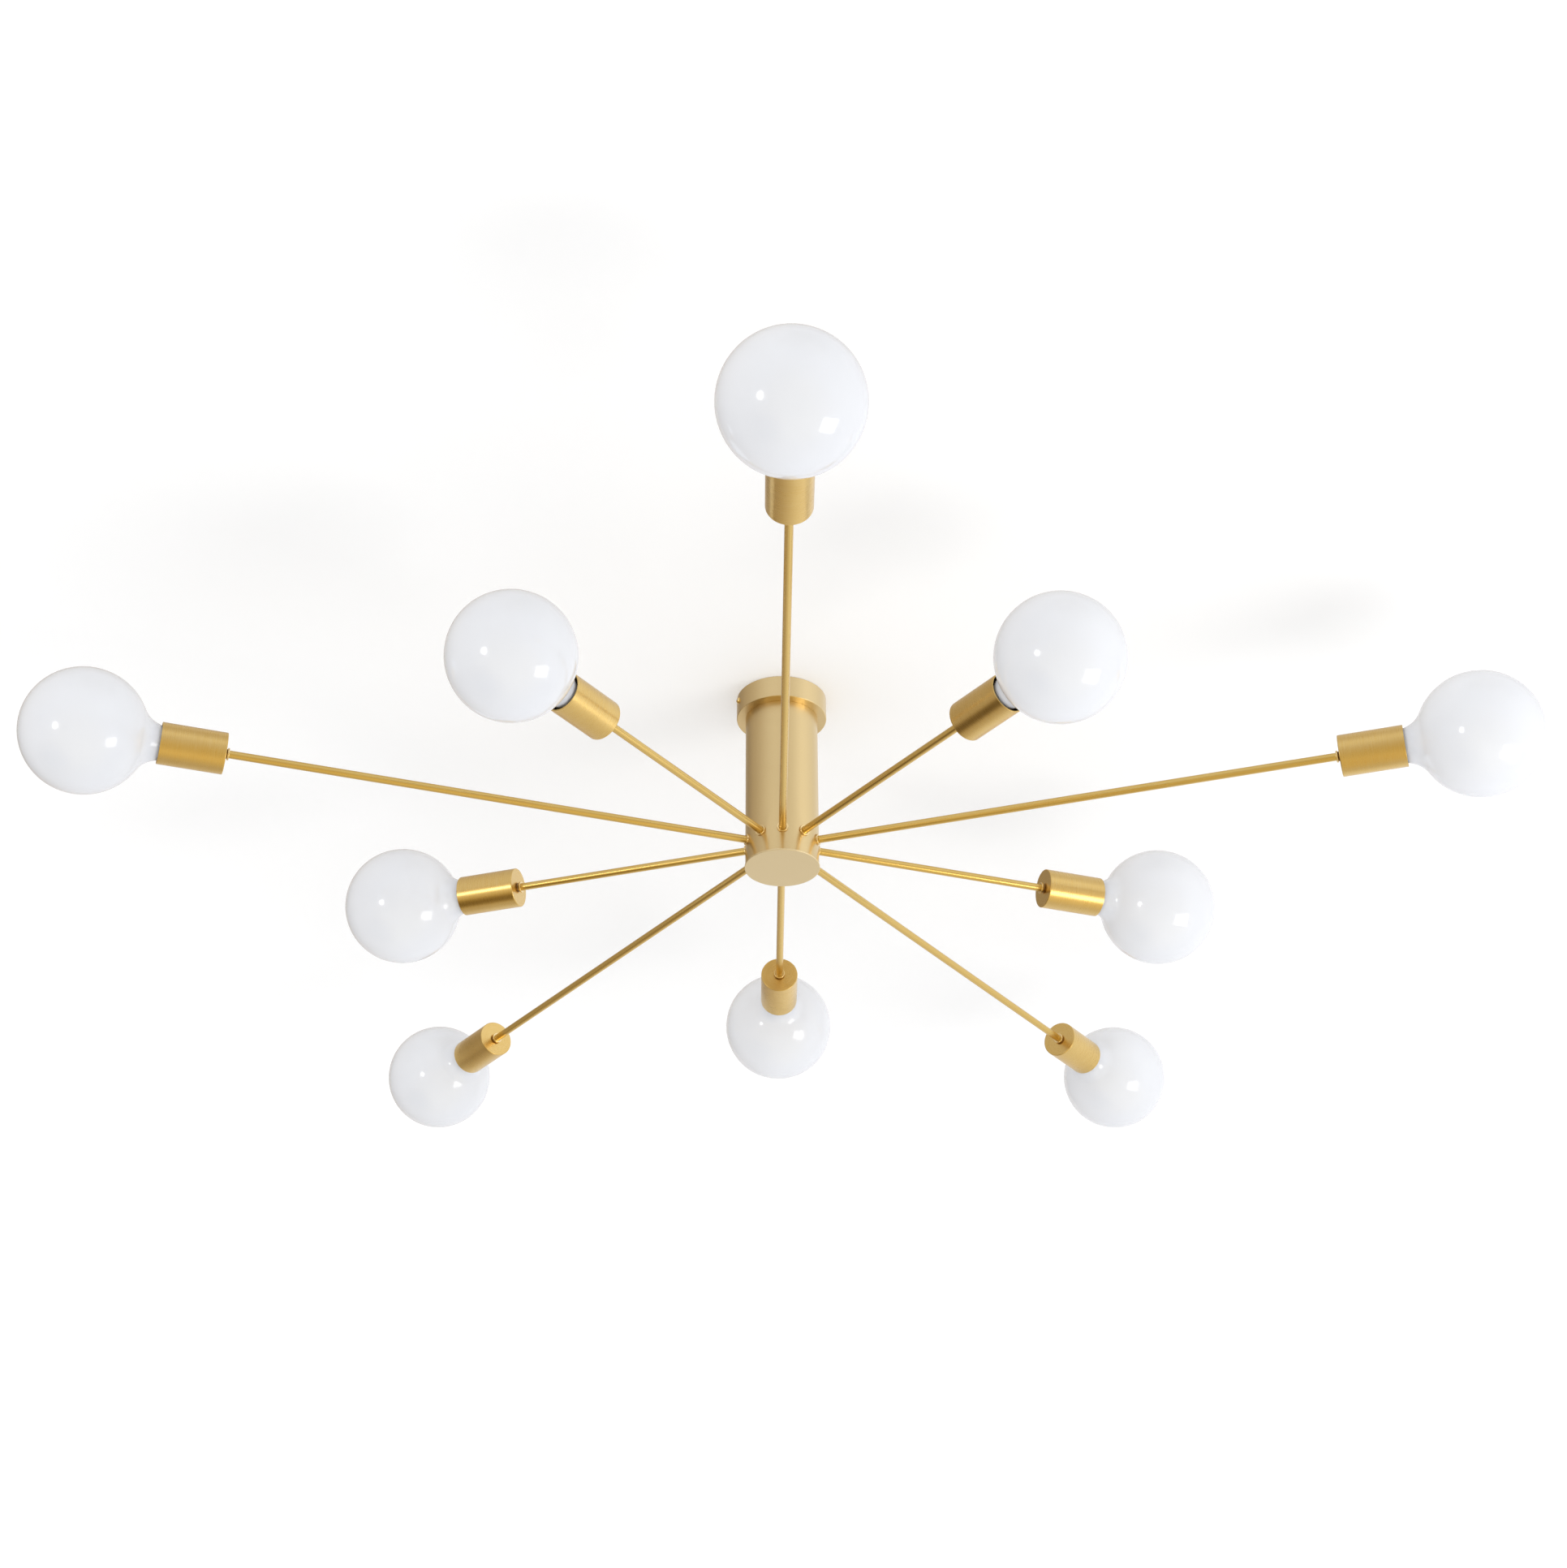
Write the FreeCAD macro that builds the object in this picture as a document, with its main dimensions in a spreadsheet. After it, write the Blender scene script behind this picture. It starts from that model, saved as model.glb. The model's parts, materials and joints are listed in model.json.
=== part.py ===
import FreeCAD, Part
import math
import os

import Sketcher

# A flush ceiling light: a canopy, a column below it and a ring of straight arms with globe bulbs.
# Frame: the origin is the centre of the ceiling plane, +Z is up and the light hangs towards -Z.
# Seen from above, the first arm points first_arm_angle from +X and the others follow counter-clockwise.
# Lengths are millimetres and angles are degrees.

SIZES = {
    # ring of arms
    "arm_count": 10,
    "first_arm_angle": -107.0,
    "long_arm_reach": 542.0,
    "short_arm_reach": 260.0,
    "arm_diameter": 8.0,
    "arm_wall": 1.0,
    "arm_hole_play": 0.1,
    "arm_end_inside": 8.0,
    "arm_height": 26.0,
    "lock_nut_width": 12.0,
    "lock_nut_thickness": 3.5,
    "collar_diameter": 12.2,
    "collar_thickness": 1.8,
    "curved_seat_gap": 0.1,
    "thread_play": 0.05,
    # column and canopy
    "column_diameter": 77.5,
    "column_wall": 1.5,
    "column_length": 182.5,
    "top_plate_thickness": 3.0,
    "cover_diameter": 79.0,
    "cover_thickness": 1.6,
    "cover_edge_bevel": 0.35,
    "cover_lip_height": 6.0,
    "cover_lip_wall": 1.5,
    "press_play": 0.05,
    "canopy_diameter": 97.0,
    "canopy_height": 25.0,
    "canopy_wall": 1.2,
    "canopy_edge_bevel": 0.5,
    # nipple that ties the column to the canopy
    "nipple_diameter": 9.9,
    "nipple_bore": 7.0,
    "nipple_play": 0.15,
    "nipple_end": 1.5,
    "nipple_nut_width": 14.0,
    "nipple_nut_thickness": 3.5,
    # ceiling bracket and what it carries
    "strap_width": 24.0,
    "strap_thickness": 2.0,
    "strap_bend": 1.5,
    "ear_drop": 14.0,
    "ear_seat_gap": 0.3,
    "slot_spacing": 66.0,
    "slot_length": 14.0,
    "slot_width": 5.0,
    "side_screw_depth": 9.0,
    "side_screw_diameter": 4.0,
    "side_screw_play": 0.25,
    "side_screw_head": 7.0,
    "side_screw_head_height": 2.6,
    "side_screw_tail": 1.5,
    "earth_screw_offset": 13.0,
    "earth_screw_diameter": 4.0,
    "earth_screw_head": 7.5,
    "earth_screw_head_height": 2.4,
    "block_width": 17.0,
    "block_length": 26.0,
    "block_height": 11.0,
    "block_poles": 3,
    "block_pole_pitch": 8.0,
    "block_well_diameter": 5.0,
    "block_well_depth": 4.0,
    "block_entry_diameter": 4.0,
    "block_entry_depth": 6.0,
    # wiring
    "supply_lead_diameter": 4.0,
    "supply_lead_bend": 8.0,
    "supply_lead_stub": 1.0,
    "splice_diameter": 32.0,
    "splice_height": 30.0,
    "splice_rise": 45.0,
    "splice_bevel": 2.0,
    "arm_lead_diameter": 3.0,
    "arm_lead_bend": 15.0,
    "arm_lead_ring": 24.0,
    # lampholder cup and its nipple
    "neck_diameter": 10.0,
    "neck_gap": 2.0,
    "spigot_play": 0.05,
    "spigot_length": 8.0,
    "tail_diameter": 8.0,
    "tail_play": 0.1,
    "tail_length": 9.0,
    "lead_bore": 3.8,
    "cup_diameter": 42.0,
    "cup_wall": 1.2,
    "cup_edge_bevel": 0.5,
    # lampholder
    "holder_recess": 11.8,
    "holder_diameter": 37.6,
    "holder_heel_diameter": 34.0,
    "holder_heel_length": 7.0,
    "holder_floor": 17.0,
    "holder_mouth_bevel": 1.2,
    "shell_bore": 27.2,
    "shell_wall": 0.4,
    "shell_play": 0.1,
    "shell_recess": 1.5,
    "shell_foot": 5.0,
    "contact_width": 5.0,
    "contact_thickness": 0.5,
    "contact_foot": 8.0,
    "contact_rise": 5.0,
    "contact_play": 0.3,
    # bulb
    "bulb_length": 175.5,
    "bulb_to_globe_ratio": 1.404,
    "bulb_to_cap_ratio": 6.5,
    "globe_clearance": 10.0,
    "glass_wall": 0.9,
    "neck_at_mouth": 34.5,
    "neck_blend": 25.0,
    "stem_length": 9.0,
    "stem_play": 0.1,
    "cap_diameter": 26.4,
    "cap_wall": 0.8,
    "cap_thread_length": 20.5,
    "cap_tip_diameter": 9.5,
    "cap_tip_height": 1.5,
    "cap_insulator_diameter": 15.0,
}

START, END, CENTRE = range(1, 4)
ORIGIN, ACROSS_AXIS, UP_AXIS = (-1, 1), -1, -2
CLOSE_ENOUGH = 1e-4

doc = FreeCAD.newDocument("ceiling_light")
sheet = doc.addObject("Spreadsheet::Sheet", "Sizes")
for row, (alias, size) in enumerate(SIZES.items(), start=1):
    sheet.set(f"A{row}", alias)
    sheet.set(f"B{row}", str(size))
    sheet.setAlias(f"B{row}", alias)
doc.recompute()


def value_of(expression):
    """Number that a sheet expression gives."""
    result = sheet.evalExpression(expression)
    return float(getattr(result, "Value", result))


# Sizes that follow from the driving ones, as expressions on the sheet
column_radius = "Sizes.column_diameter / 2"
column_bore_radius = "(Sizes.column_diameter / 2 - Sizes.column_wall)"
canopy_bore_radius = "(Sizes.canopy_diameter / 2 - Sizes.canopy_wall)"
arm_radius = "Sizes.arm_diameter / 2"
arm_bore_radius = "(Sizes.arm_diameter / 2 - Sizes.arm_wall)"
arm_hole_radius = "(Sizes.arm_diameter / 2 + Sizes.arm_hole_play)"
arm_axis_depth = "(Sizes.canopy_height + Sizes.column_length - Sizes.arm_height)"
arm_start = f"({column_bore_radius} - Sizes.arm_end_inside)"
strap_end = f"(sqrt({canopy_bore_radius}^2 - Sizes.strap_width^2 / 4) - Sizes.ear_seat_gap)"
nipple_hole_radius = "(Sizes.nipple_diameter / 2 + Sizes.nipple_play)"
nipple_nut_bore = "(Sizes.nipple_diameter / 2 + Sizes.thread_play)"
nipple_top = "(Sizes.canopy_height - Sizes.canopy_wall - Sizes.nipple_nut_thickness - Sizes.nipple_end)"
block_face = "(Sizes.supply_lead_stub + Sizes.supply_lead_bend)"
block_middle_depth = "(Sizes.strap_thickness + Sizes.block_height / 2)"
cup_radius = "Sizes.cup_diameter / 2"
cup_bore_radius = "(Sizes.cup_diameter / 2 - Sizes.cup_wall)"
tail_radius = "Sizes.tail_diameter / 2"
tail_hole_radius = "(Sizes.tail_diameter / 2 + Sizes.tail_play)"
holder_bore_radius = "(Sizes.shell_bore / 2 + Sizes.shell_wall + Sizes.shell_play)"
cap_radius = "Sizes.cap_diameter / 2"
cap_bore_radius = "(Sizes.cap_diameter / 2 - Sizes.cap_wall)"
# A bulb keeps its proportions, and the cup is as deep as the bulb that stands in it
globe_radius = "(Sizes.bulb_length / Sizes.bulb_to_globe_ratio / 2)"
cap_length = "(Sizes.bulb_length / Sizes.bulb_to_cap_ratio)"
bulb_tip = f"(Sizes.bulb_length - {globe_radius})"
mouth_to_globe = f"({globe_radius} + Sizes.globe_clearance)"
tip_seat = "(Sizes.cup_wall + Sizes.holder_floor + Sizes.contact_rise + Sizes.contact_play)"
cup_length = f"({tip_seat} + {bulb_tip} - {mouth_to_globe})"
holder_length = f"({cup_length} - Sizes.cup_wall - Sizes.holder_recess)"


class Arm:
    """One place in the ring: its number, its angle and the distance from the column's skin to the cup."""

    def __init__(self, number):
        self.number = number
        self.angle = value_of(f"Sizes.first_arm_angle + {number - 1} * 360 / Sizes.arm_count")
        self.reach = "Sizes.long_arm_reach" if number % 2 else "Sizes.short_arm_reach"
        self.cup_back = f"({column_radius} + {self.reach})"
        self.arm_end = f"({self.cup_back} - Sizes.neck_gap)"
        self.globe_centre = f"({self.cup_back} + {tip_seat} + {bulb_tip})"

    def at(self, distance):
        """Placement on this arm's line, with local X along it, at a distance from the column's axis."""
        turn = FreeCAD.Rotation(FreeCAD.Vector(0, 0, 1), self.angle)
        spot = turn.multVec(FreeCAD.Vector(value_of(distance), 0, 0))
        spot.z = -value_of(arm_axis_depth)
        return FreeCAD.Placement(spot, turn)

    def lying_at(self, distance):
        """The same place for a shape drawn along Z, which lies down along the arm."""
        lie_down = FreeCAD.Rotation(FreeCAD.Vector(0, 1, 0), 90)
        return self.at(distance) * FreeCAD.Placement(FreeCAD.Vector(0, 0, 0), lie_down)


arms = [Arm(number) for number in range(1, int(value_of("Sizes.arm_count")) + 1)]


# Drawing helpers

def new_body(label):
    body = doc.addObject("PartDesign::Body", label)
    body.Label = label
    return body


def new_sketch(body, name, role):
    sketch = body.newObject("Sketcher::SketchObject", name)
    plane = next(item for item in body.Origin.OriginFeatures if item.Role == role)
    sketch.AttachmentSupport = [(plane, "")]
    sketch.MapMode = "FlatFace"
    return sketch


def bind(sketch, kind, *places, size):
    """Add a dimension between places and bind it to a sheet expression."""
    index = sketch.addConstraint(Sketcher.Constraint(kind, *places, value_of(size)))
    sketch.setExpression(f"Constraints[{index}]", size)


def join(sketch, first, second, tangent=False):
    """Join the end of one edge to the start of another, smoothly where asked."""
    kind = "Tangent" if tangent else "Coincident"
    sketch.addConstraint(Sketcher.Constraint(kind, first, END, second, START))


def pin(sketch, edge, end, across, up):
    """Hold a point at two sheet expressions; the expression 0 puts it on an axis."""
    for kind, size, axis in (("DistanceX", across, UP_AXIS), ("DistanceY", up, ACROSS_AXIS)):
        if size == "0":
            sketch.addConstraint(Sketcher.Constraint("PointOnObject", edge, end, axis))
        else:
            bind(sketch, kind, *ORIGIN, edge, end, size=size)


def draw_outline(sketch, corners):
    """Close a chain of straight edges through corners given as pairs of sheet expressions."""
    spots = [FreeCAD.Vector(value_of(across), value_of(up), 0) for across, up in corners]
    sketch.addGeometry([Part.LineSegment(*ends) for ends in zip(spots, spots[1:] + spots[:1])])
    for edge, (across, up) in enumerate(corners):
        join(sketch, edge, (edge + 1) % len(corners))
        pin(sketch, edge, START, across, up)


def draw_circle(sketch, radius, across="0", up="0"):
    centre = FreeCAD.Vector(value_of(across), value_of(up), 0)
    edge = sketch.addGeometry(Part.Circle(centre, FreeCAD.Vector(0, 0, 1), value_of(radius)))
    pin(sketch, edge, CENTRE, across, up)
    bind(sketch, "Radius", edge, size=radius)


def revolve(body, name, role, axis, corners):
    """Turn an outline once round a sketch axis: V_Axis on XZ if upright, H_Axis on XY if along an arm."""
    sketch = new_sketch(body, f"{name}_outline", role)
    draw_outline(sketch, corners)
    feature = body.newObject("PartDesign::Revolution", name)
    feature.Profile = sketch
    feature.ReferenceAxis = (sketch, [axis])
    feature.Angle = 360
    return feature


def upright_turning(label, corners):
    """Body turned about Z from corners given as radius and height."""
    body = new_body(label)
    revolve(body, f"{label}_turned", "XZ_Plane", "V_Axis", corners)
    return body


def arm_turning(label, corners):
    """Body turned about X from corners given as length along the arm and radius."""
    body = new_body(label)
    revolve(body, f"{label}_turned", "XY_Plane", "H_Axis", corners)
    return body


def tube_corners(radius, bore_radius, start, end):
    """Corners of a tube's wall, length first."""
    return [(start, bore_radius), (start, radius), (end, radius), (end, bore_radius)]


def extrude(body, kind, sketch, name, length=None, both_ways=False, reverse=False):
    """Pad or pocket a sketch by a sheet expression, or right through where no length is given."""
    feature = body.newObject(f"PartDesign::{kind}", name)
    feature.Profile = sketch
    feature.Reversed = reverse
    feature.SideType = "Symmetric" if both_ways else "One side"
    if length:
        feature.setExpression("Length", length)
    else:
        feature.Type = "ThroughAll"
    return feature


def dress_edges(body, kind, name, size, chosen):
    """Fillet or chamfer the edges of the body's last feature that a test picks."""
    doc.recompute()
    base = body.Tip
    edges = [f"Edge{n}" for n, edge in enumerate(base.Shape.Edges, start=1) if chosen(edge)]
    dressing = body.newObject(f"PartDesign::{kind}", name)
    dressing.Base = (base, edges)
    dressing.setExpression("Radius" if kind == "Fillet" else "Size", size)


def ring_edge(radius, place, axis="x"):
    """Test for a full circle of a radius at a place along an axis."""
    def chosen(edge):
        curve = edge.Curve
        if not isinstance(curve, Part.Circle):
            return False
        off = abs(getattr(curve.Center, axis) - value_of(place))
        return max(off, abs(curve.Radius - value_of(radius))) < CLOSE_ENOUGH
    return chosen


def raise_to(body, depth):
    """Put a body's own zero height at a depth below the ceiling."""
    body.setExpression("Placement.Base.z", f"-({depth})")


def cylinder(name, radius, height, placement):
    solid = doc.addObject("Part::Cylinder", name)
    solid.setExpression("Radius", radius)
    solid.setExpression("Height", height)
    solid.Placement = placement
    return solid


def cut(name, base, tool):
    result = doc.addObject("Part::Cut", name)
    result.Base = base
    result.Tool = tool
    return result


def hex_nut(name, width, thickness, bore_radius, placement):
    """Hexagon nut from its width across flats, drawn up from its placement."""
    block = doc.addObject("Part::Prism", f"{name}_block")
    block.Polygon = 6
    block.setExpression("Circumradius", f"{width} / sqrt(3)")
    block.setExpression("Height", thickness)
    block.Placement = placement
    return cut(name, block, cylinder(f"{name}_bore", bore_radius, thickness, placement))


def group(label, pieces):
    """Separate solids that share one name."""
    result = doc.addObject("Part::Compound", label)
    result.Label = label
    result.Links = pieces
    return result


# Bracket on the ceiling

def draw_slot(sketch, middle, length, width):
    """Round-ended slot along X, its middle at a sheet expression on the axis."""
    half_width = value_of(width) / 2
    half_run = (value_of(length) - value_of(width)) / 2
    middle_at = value_of(middle)
    up = FreeCAD.Vector(0, 0, 1)
    ends = [FreeCAD.Vector(middle_at + side * half_run, 0, 0) for side in (-1, 1)]
    quarter = math.pi / 2
    left_arc = Part.ArcOfCircle(Part.Circle(ends[0], up, half_width), quarter, 3 * quarter)
    right_arc = Part.ArcOfCircle(Part.Circle(ends[1], up, half_width), -quarter, quarter)
    low_line = Part.LineSegment(left_arc.EndPoint, right_arc.StartPoint)
    high_line = Part.LineSegment(right_arc.EndPoint, left_arc.StartPoint)
    first = sketch.addGeometry([left_arc, low_line, right_arc, high_line])[0]
    for step in range(4):
        join(sketch, first + step, first + (step + 1) % 4, tangent=True)
    half_way = f"({length} - {width}) / 2"
    pin(sketch, first, CENTRE, f"({middle} - {half_way})", "0")
    pin(sketch, first + 2, CENTRE, f"({middle} + {half_way})", "0")
    bind(sketch, "Radius", first, size=f"{width} / 2")


def make_bracket():
    """Steel strap whose two ears, bent down, take the canopy's side screws."""
    body = new_body("ceiling_bracket")
    side = new_sketch(body, "bracket_side", "XZ_Plane")
    inner_end = f"({strap_end} - Sizes.strap_thickness)"
    under = "-Sizes.strap_thickness"
    tip = "-Sizes.ear_drop"
    draw_outline(side, [
        (f"-{strap_end}", "0"), (f"-{strap_end}", tip), (f"-{inner_end}", tip), (f"-{inner_end}", under),
        (inner_end, under), (inner_end, tip), (strap_end, tip), (strap_end, "0"),
    ])
    extrude(body, "Pad", side, "bracket_strip", "Sizes.strap_width", both_ways=True)
    bend_edges = (
        ("bracket_inner_bends", "Sizes.strap_bend", inner_end, "Sizes.strap_thickness"),
        ("bracket_outer_bends", "(Sizes.strap_bend + Sizes.strap_thickness)", strap_end, "0"),
    )
    for name, radius, across, depth in bend_edges:
        def at_bend(edge, across=value_of(across), depth=value_of(depth)):
            middle = edge.CenterOfMass
            return max(abs(abs(middle.x) - across), abs(middle.z + depth)) < CLOSE_ENOUGH
        dress_edges(body, "Fillet", name, radius, at_bend)
    slots = new_sketch(body, "bracket_slots", "XY_Plane")
    for side_sign in ("-", ""):
        draw_slot(slots, f"{side_sign}Sizes.slot_spacing / 2", "Sizes.slot_length", "Sizes.slot_width")
    earth_hole_radius = "(Sizes.earth_screw_diameter / 2 + Sizes.thread_play)"
    draw_circle(slots, earth_hole_radius, "-Sizes.earth_screw_offset")
    extrude(body, "Pocket", slots, "bracket_slot_cut", both_ways=True)
    ear_holes = new_sketch(body, "bracket_ear_holes", "YZ_Plane")
    ear_hole_radius = "(Sizes.side_screw_diameter / 2 + Sizes.thread_play)"
    draw_circle(ear_holes, ear_hole_radius, up="-Sizes.side_screw_depth")
    extrude(body, "Pocket", ear_holes, "bracket_ear_cut", both_ways=True)
    return body


def make_earth_screw():
    head_radius = "Sizes.earth_screw_head / 2"
    shank_radius = "Sizes.earth_screw_diameter / 2"
    head_bottom = "-(Sizes.strap_thickness + Sizes.earth_screw_head_height)"
    under = "-Sizes.strap_thickness"
    body = upright_turning("earth_screw", [
        ("0", "0"), ("0", head_bottom), (head_radius, head_bottom), (head_radius, under),
        (shank_radius, under), (shank_radius, "0"),
    ])
    body.setExpression("Placement.Base.x", "-Sizes.earth_screw_offset")
    return body


def repeat_poles(body, feature, name):
    """Repeat a feature over the block's poles, evenly both ways from its middle."""
    pattern = body.newObject("PartDesign::LinearPattern", name)
    pattern.Originals = [feature]
    pattern.Direction = (feature.Profile[0], ["H_Axis"])
    pattern.setExpression("Length", "(Sizes.block_poles - 1) * Sizes.block_pole_pitch")
    pattern.setExpression("Occurrences", "Sizes.block_poles")
    body.Tip = pattern
    doc.recompute()


def make_terminal_block():
    """Terminal strip under the bracket: screw wells below, wire entries on the far side."""
    body = new_body("terminal_block")
    plan = new_sketch(body, "block_plan", "XY_Plane")
    far_face = f"({block_face} + Sizes.block_width)"
    draw_outline(plan, [
        (block_face, "-Sizes.block_length / 2"), (far_face, "-Sizes.block_length / 2"),
        (far_face, "Sizes.block_length / 2"), (block_face, "Sizes.block_length / 2"),
    ])
    extrude(body, "Pad", plan, "block_solid", "Sizes.block_height")
    doc.recompute()
    first_pole = "-(Sizes.block_poles - 1) * Sizes.block_pole_pitch / 2"
    # The wells' sketch lies on the underside and is turned so that its own X runs along the poles
    wells = new_sketch(body, "block_wells", "XY_Plane")
    quarter_turn = FreeCAD.Rotation(FreeCAD.Vector(0, 0, 1), 90)
    wells.AttachmentOffset = FreeCAD.Placement(FreeCAD.Vector(), quarter_turn)
    well_line = f"-({block_face} + Sizes.block_width / 2)"
    draw_circle(wells, "Sizes.block_well_diameter / 2", first_pole, well_line)
    well = extrude(body, "Pocket", wells, "block_well", "Sizes.block_well_depth", reverse=True)
    doc.recompute()
    repeat_poles(body, well, "block_well_row")
    entries = new_sketch(body, "block_entries", "YZ_Plane")
    entries.setExpression("AttachmentOffset.Base.z", far_face)
    draw_circle(entries, "Sizes.block_entry_diameter / 2", first_pole, "Sizes.block_height / 2")
    entry = extrude(body, "Pocket", entries, "block_entry", "Sizes.block_entry_depth")
    doc.recompute()
    repeat_poles(body, entry, "block_entry_row")
    raise_to(body, "Sizes.strap_thickness + Sizes.block_height")
    return body


# Canopy, column and what ties them

def make_canopy():
    """Drawn cup, open to the ceiling, with a hole for the nipple and two for the side screws."""
    outer = "Sizes.canopy_diameter / 2"
    body = upright_turning("canopy", [
        (nipple_hole_radius, "0"), (outer, "0"), (outer, "Sizes.canopy_height"),
        (canopy_bore_radius, "Sizes.canopy_height"), (canopy_bore_radius, "Sizes.canopy_wall"),
        (nipple_hole_radius, "Sizes.canopy_wall"),
    ])
    dress_edges(body, "Chamfer", "canopy_edge", "Sizes.canopy_edge_bevel", ring_edge(outer, "0", "z"))
    holes = new_sketch(body, "canopy_screw_holes", "YZ_Plane")
    hole_radius = "(Sizes.side_screw_diameter / 2 + Sizes.side_screw_play)"
    draw_circle(holes, hole_radius, up="Sizes.canopy_height - Sizes.side_screw_depth")
    extrude(body, "Pocket", holes, "canopy_screw_cut", both_ways=True)
    raise_to(body, "Sizes.canopy_height")
    return body


def make_side_screw(side):
    """Round-headed screw that lies along X, its head on the canopy's skin and its tail through the ear."""
    radius = "Sizes.side_screw_diameter / 2"
    head_radius = "Sizes.side_screw_head / 2"
    outer = "Sizes.canopy_diameter / 2"
    inner_tip = f"({strap_end} - Sizes.strap_thickness - Sizes.side_screw_tail)"
    head_flat = "(Sizes.side_screw_head_height / 2)"
    name = f"side_screw_{side}"
    body = arm_turning(name, [
        (inner_tip, "0"), (inner_tip, radius), (outer, radius), (outer, head_radius),
        (f"({outer} + {head_flat})", head_radius), (f"({outer} + Sizes.side_screw_head_height)", radius),
        (f"({outer} + Sizes.side_screw_head_height)", "0"),
    ])
    half_turn = 180 if side == "left" else 0
    spot = FreeCAD.Vector(0, 0, -value_of("Sizes.side_screw_depth"))
    body.Placement = FreeCAD.Placement(spot, FreeCAD.Rotation(FreeCAD.Vector(0, 0, 1), half_turn))
    return body


def make_column_tube():
    """Tube from the canopy's floor to the bottom cover, with a ring of holes for the arms."""
    body = new_body("column_tube")
    section = new_sketch(body, "column_section", "XY_Plane")
    draw_circle(section, column_radius)
    draw_circle(section, column_bore_radius)
    extrude(body, "Pad", section, "column_pad", "Sizes.column_length")
    doc.recompute()
    hole = new_sketch(body, "column_arm_hole", "XZ_Plane")
    draw_circle(hole, arm_hole_radius, up="Sizes.arm_height")
    # An XZ sketch faces -Y, so the cut runs through one wall only, on the first arm's side once turned
    first_cut = extrude(body, "Pocket", hole, "column_first_hole", column_radius, reverse=True)
    pattern = body.newObject("PartDesign::PolarPattern", "column_hole_ring")
    pattern.Originals = [first_cut]
    pattern.Axis = (section, ["N_Axis"])
    pattern.Angle = 360
    pattern.setExpression("Occurrences", "Sizes.arm_count")
    body.Tip = pattern
    turn = FreeCAD.Rotation(FreeCAD.Vector(0, 0, 1), arms[0].angle + 90)
    spot = FreeCAD.Vector(0, 0, -value_of("Sizes.canopy_height + Sizes.column_length"))
    body.Placement = FreeCAD.Placement(spot, turn)
    return body


def make_top_plate():
    rim = f"({column_bore_radius} - Sizes.press_play)"
    height = "Sizes.top_plate_thickness"
    body = upright_turning("column_top_plate", [
        (nipple_hole_radius, "0"), (rim, "0"), (rim, height), (nipple_hole_radius, height),
    ])
    raise_to(body, "Sizes.canopy_height + Sizes.top_plate_thickness")
    return body


def make_bottom_cover():
    """Flat disc that stands a little proud of the column, with a lip pressed into its bore."""
    rim = "Sizes.cover_diameter / 2"
    lip_outer = f"({column_bore_radius} - Sizes.press_play)"
    lip_inner = f"({lip_outer} - Sizes.cover_lip_wall)"
    lip_top = "(Sizes.cover_thickness + Sizes.cover_lip_height)"
    body = upright_turning("bottom_cover", [
        ("0", "0"), (rim, "0"), (rim, "Sizes.cover_thickness"), (lip_outer, "Sizes.cover_thickness"),
        (lip_outer, lip_top), (lip_inner, lip_top), (lip_inner, "Sizes.cover_thickness"),
        ("0", "Sizes.cover_thickness"),
    ])
    for name, height in (("cover_lower_edge", "0"), ("cover_upper_edge", "Sizes.cover_thickness")):
        dress_edges(body, "Chamfer", name, "Sizes.cover_edge_bevel", ring_edge(rim, height, "z"))
    raise_to(body, "Sizes.canopy_height + Sizes.column_length + Sizes.cover_thickness")
    return body


nipple_foot = "(Sizes.canopy_height + Sizes.top_plate_thickness + Sizes.nipple_nut_thickness)"


def make_canopy_nipple():
    radius = "Sizes.nipple_diameter / 2"
    bore = "Sizes.nipple_bore / 2"
    height = f"({nipple_foot} + Sizes.nipple_end - {nipple_top})"
    body = upright_turning("canopy_nipple", [(bore, "0"), (radius, "0"), (radius, height), (bore, height)])
    raise_to(body, f"{nipple_foot} + Sizes.nipple_end")
    return body


def make_nipple_nuts():
    """One nut on the canopy's floor and one under the column's top plate."""
    nut_floor = "(Sizes.canopy_height - Sizes.canopy_wall)"
    nuts = []
    for name, depth in (("canopy_nut", nut_floor), ("plate_nut", nipple_foot)):
        spot = FreeCAD.Placement(FreeCAD.Vector(0, 0, -value_of(depth)), FreeCAD.Rotation())
        nuts.append(hex_nut(name, "Sizes.nipple_nut_width", "Sizes.nipple_nut_thickness",
                            nipple_nut_bore, spot))
    return group("nipple_nuts", nuts)


# Wiring

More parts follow.
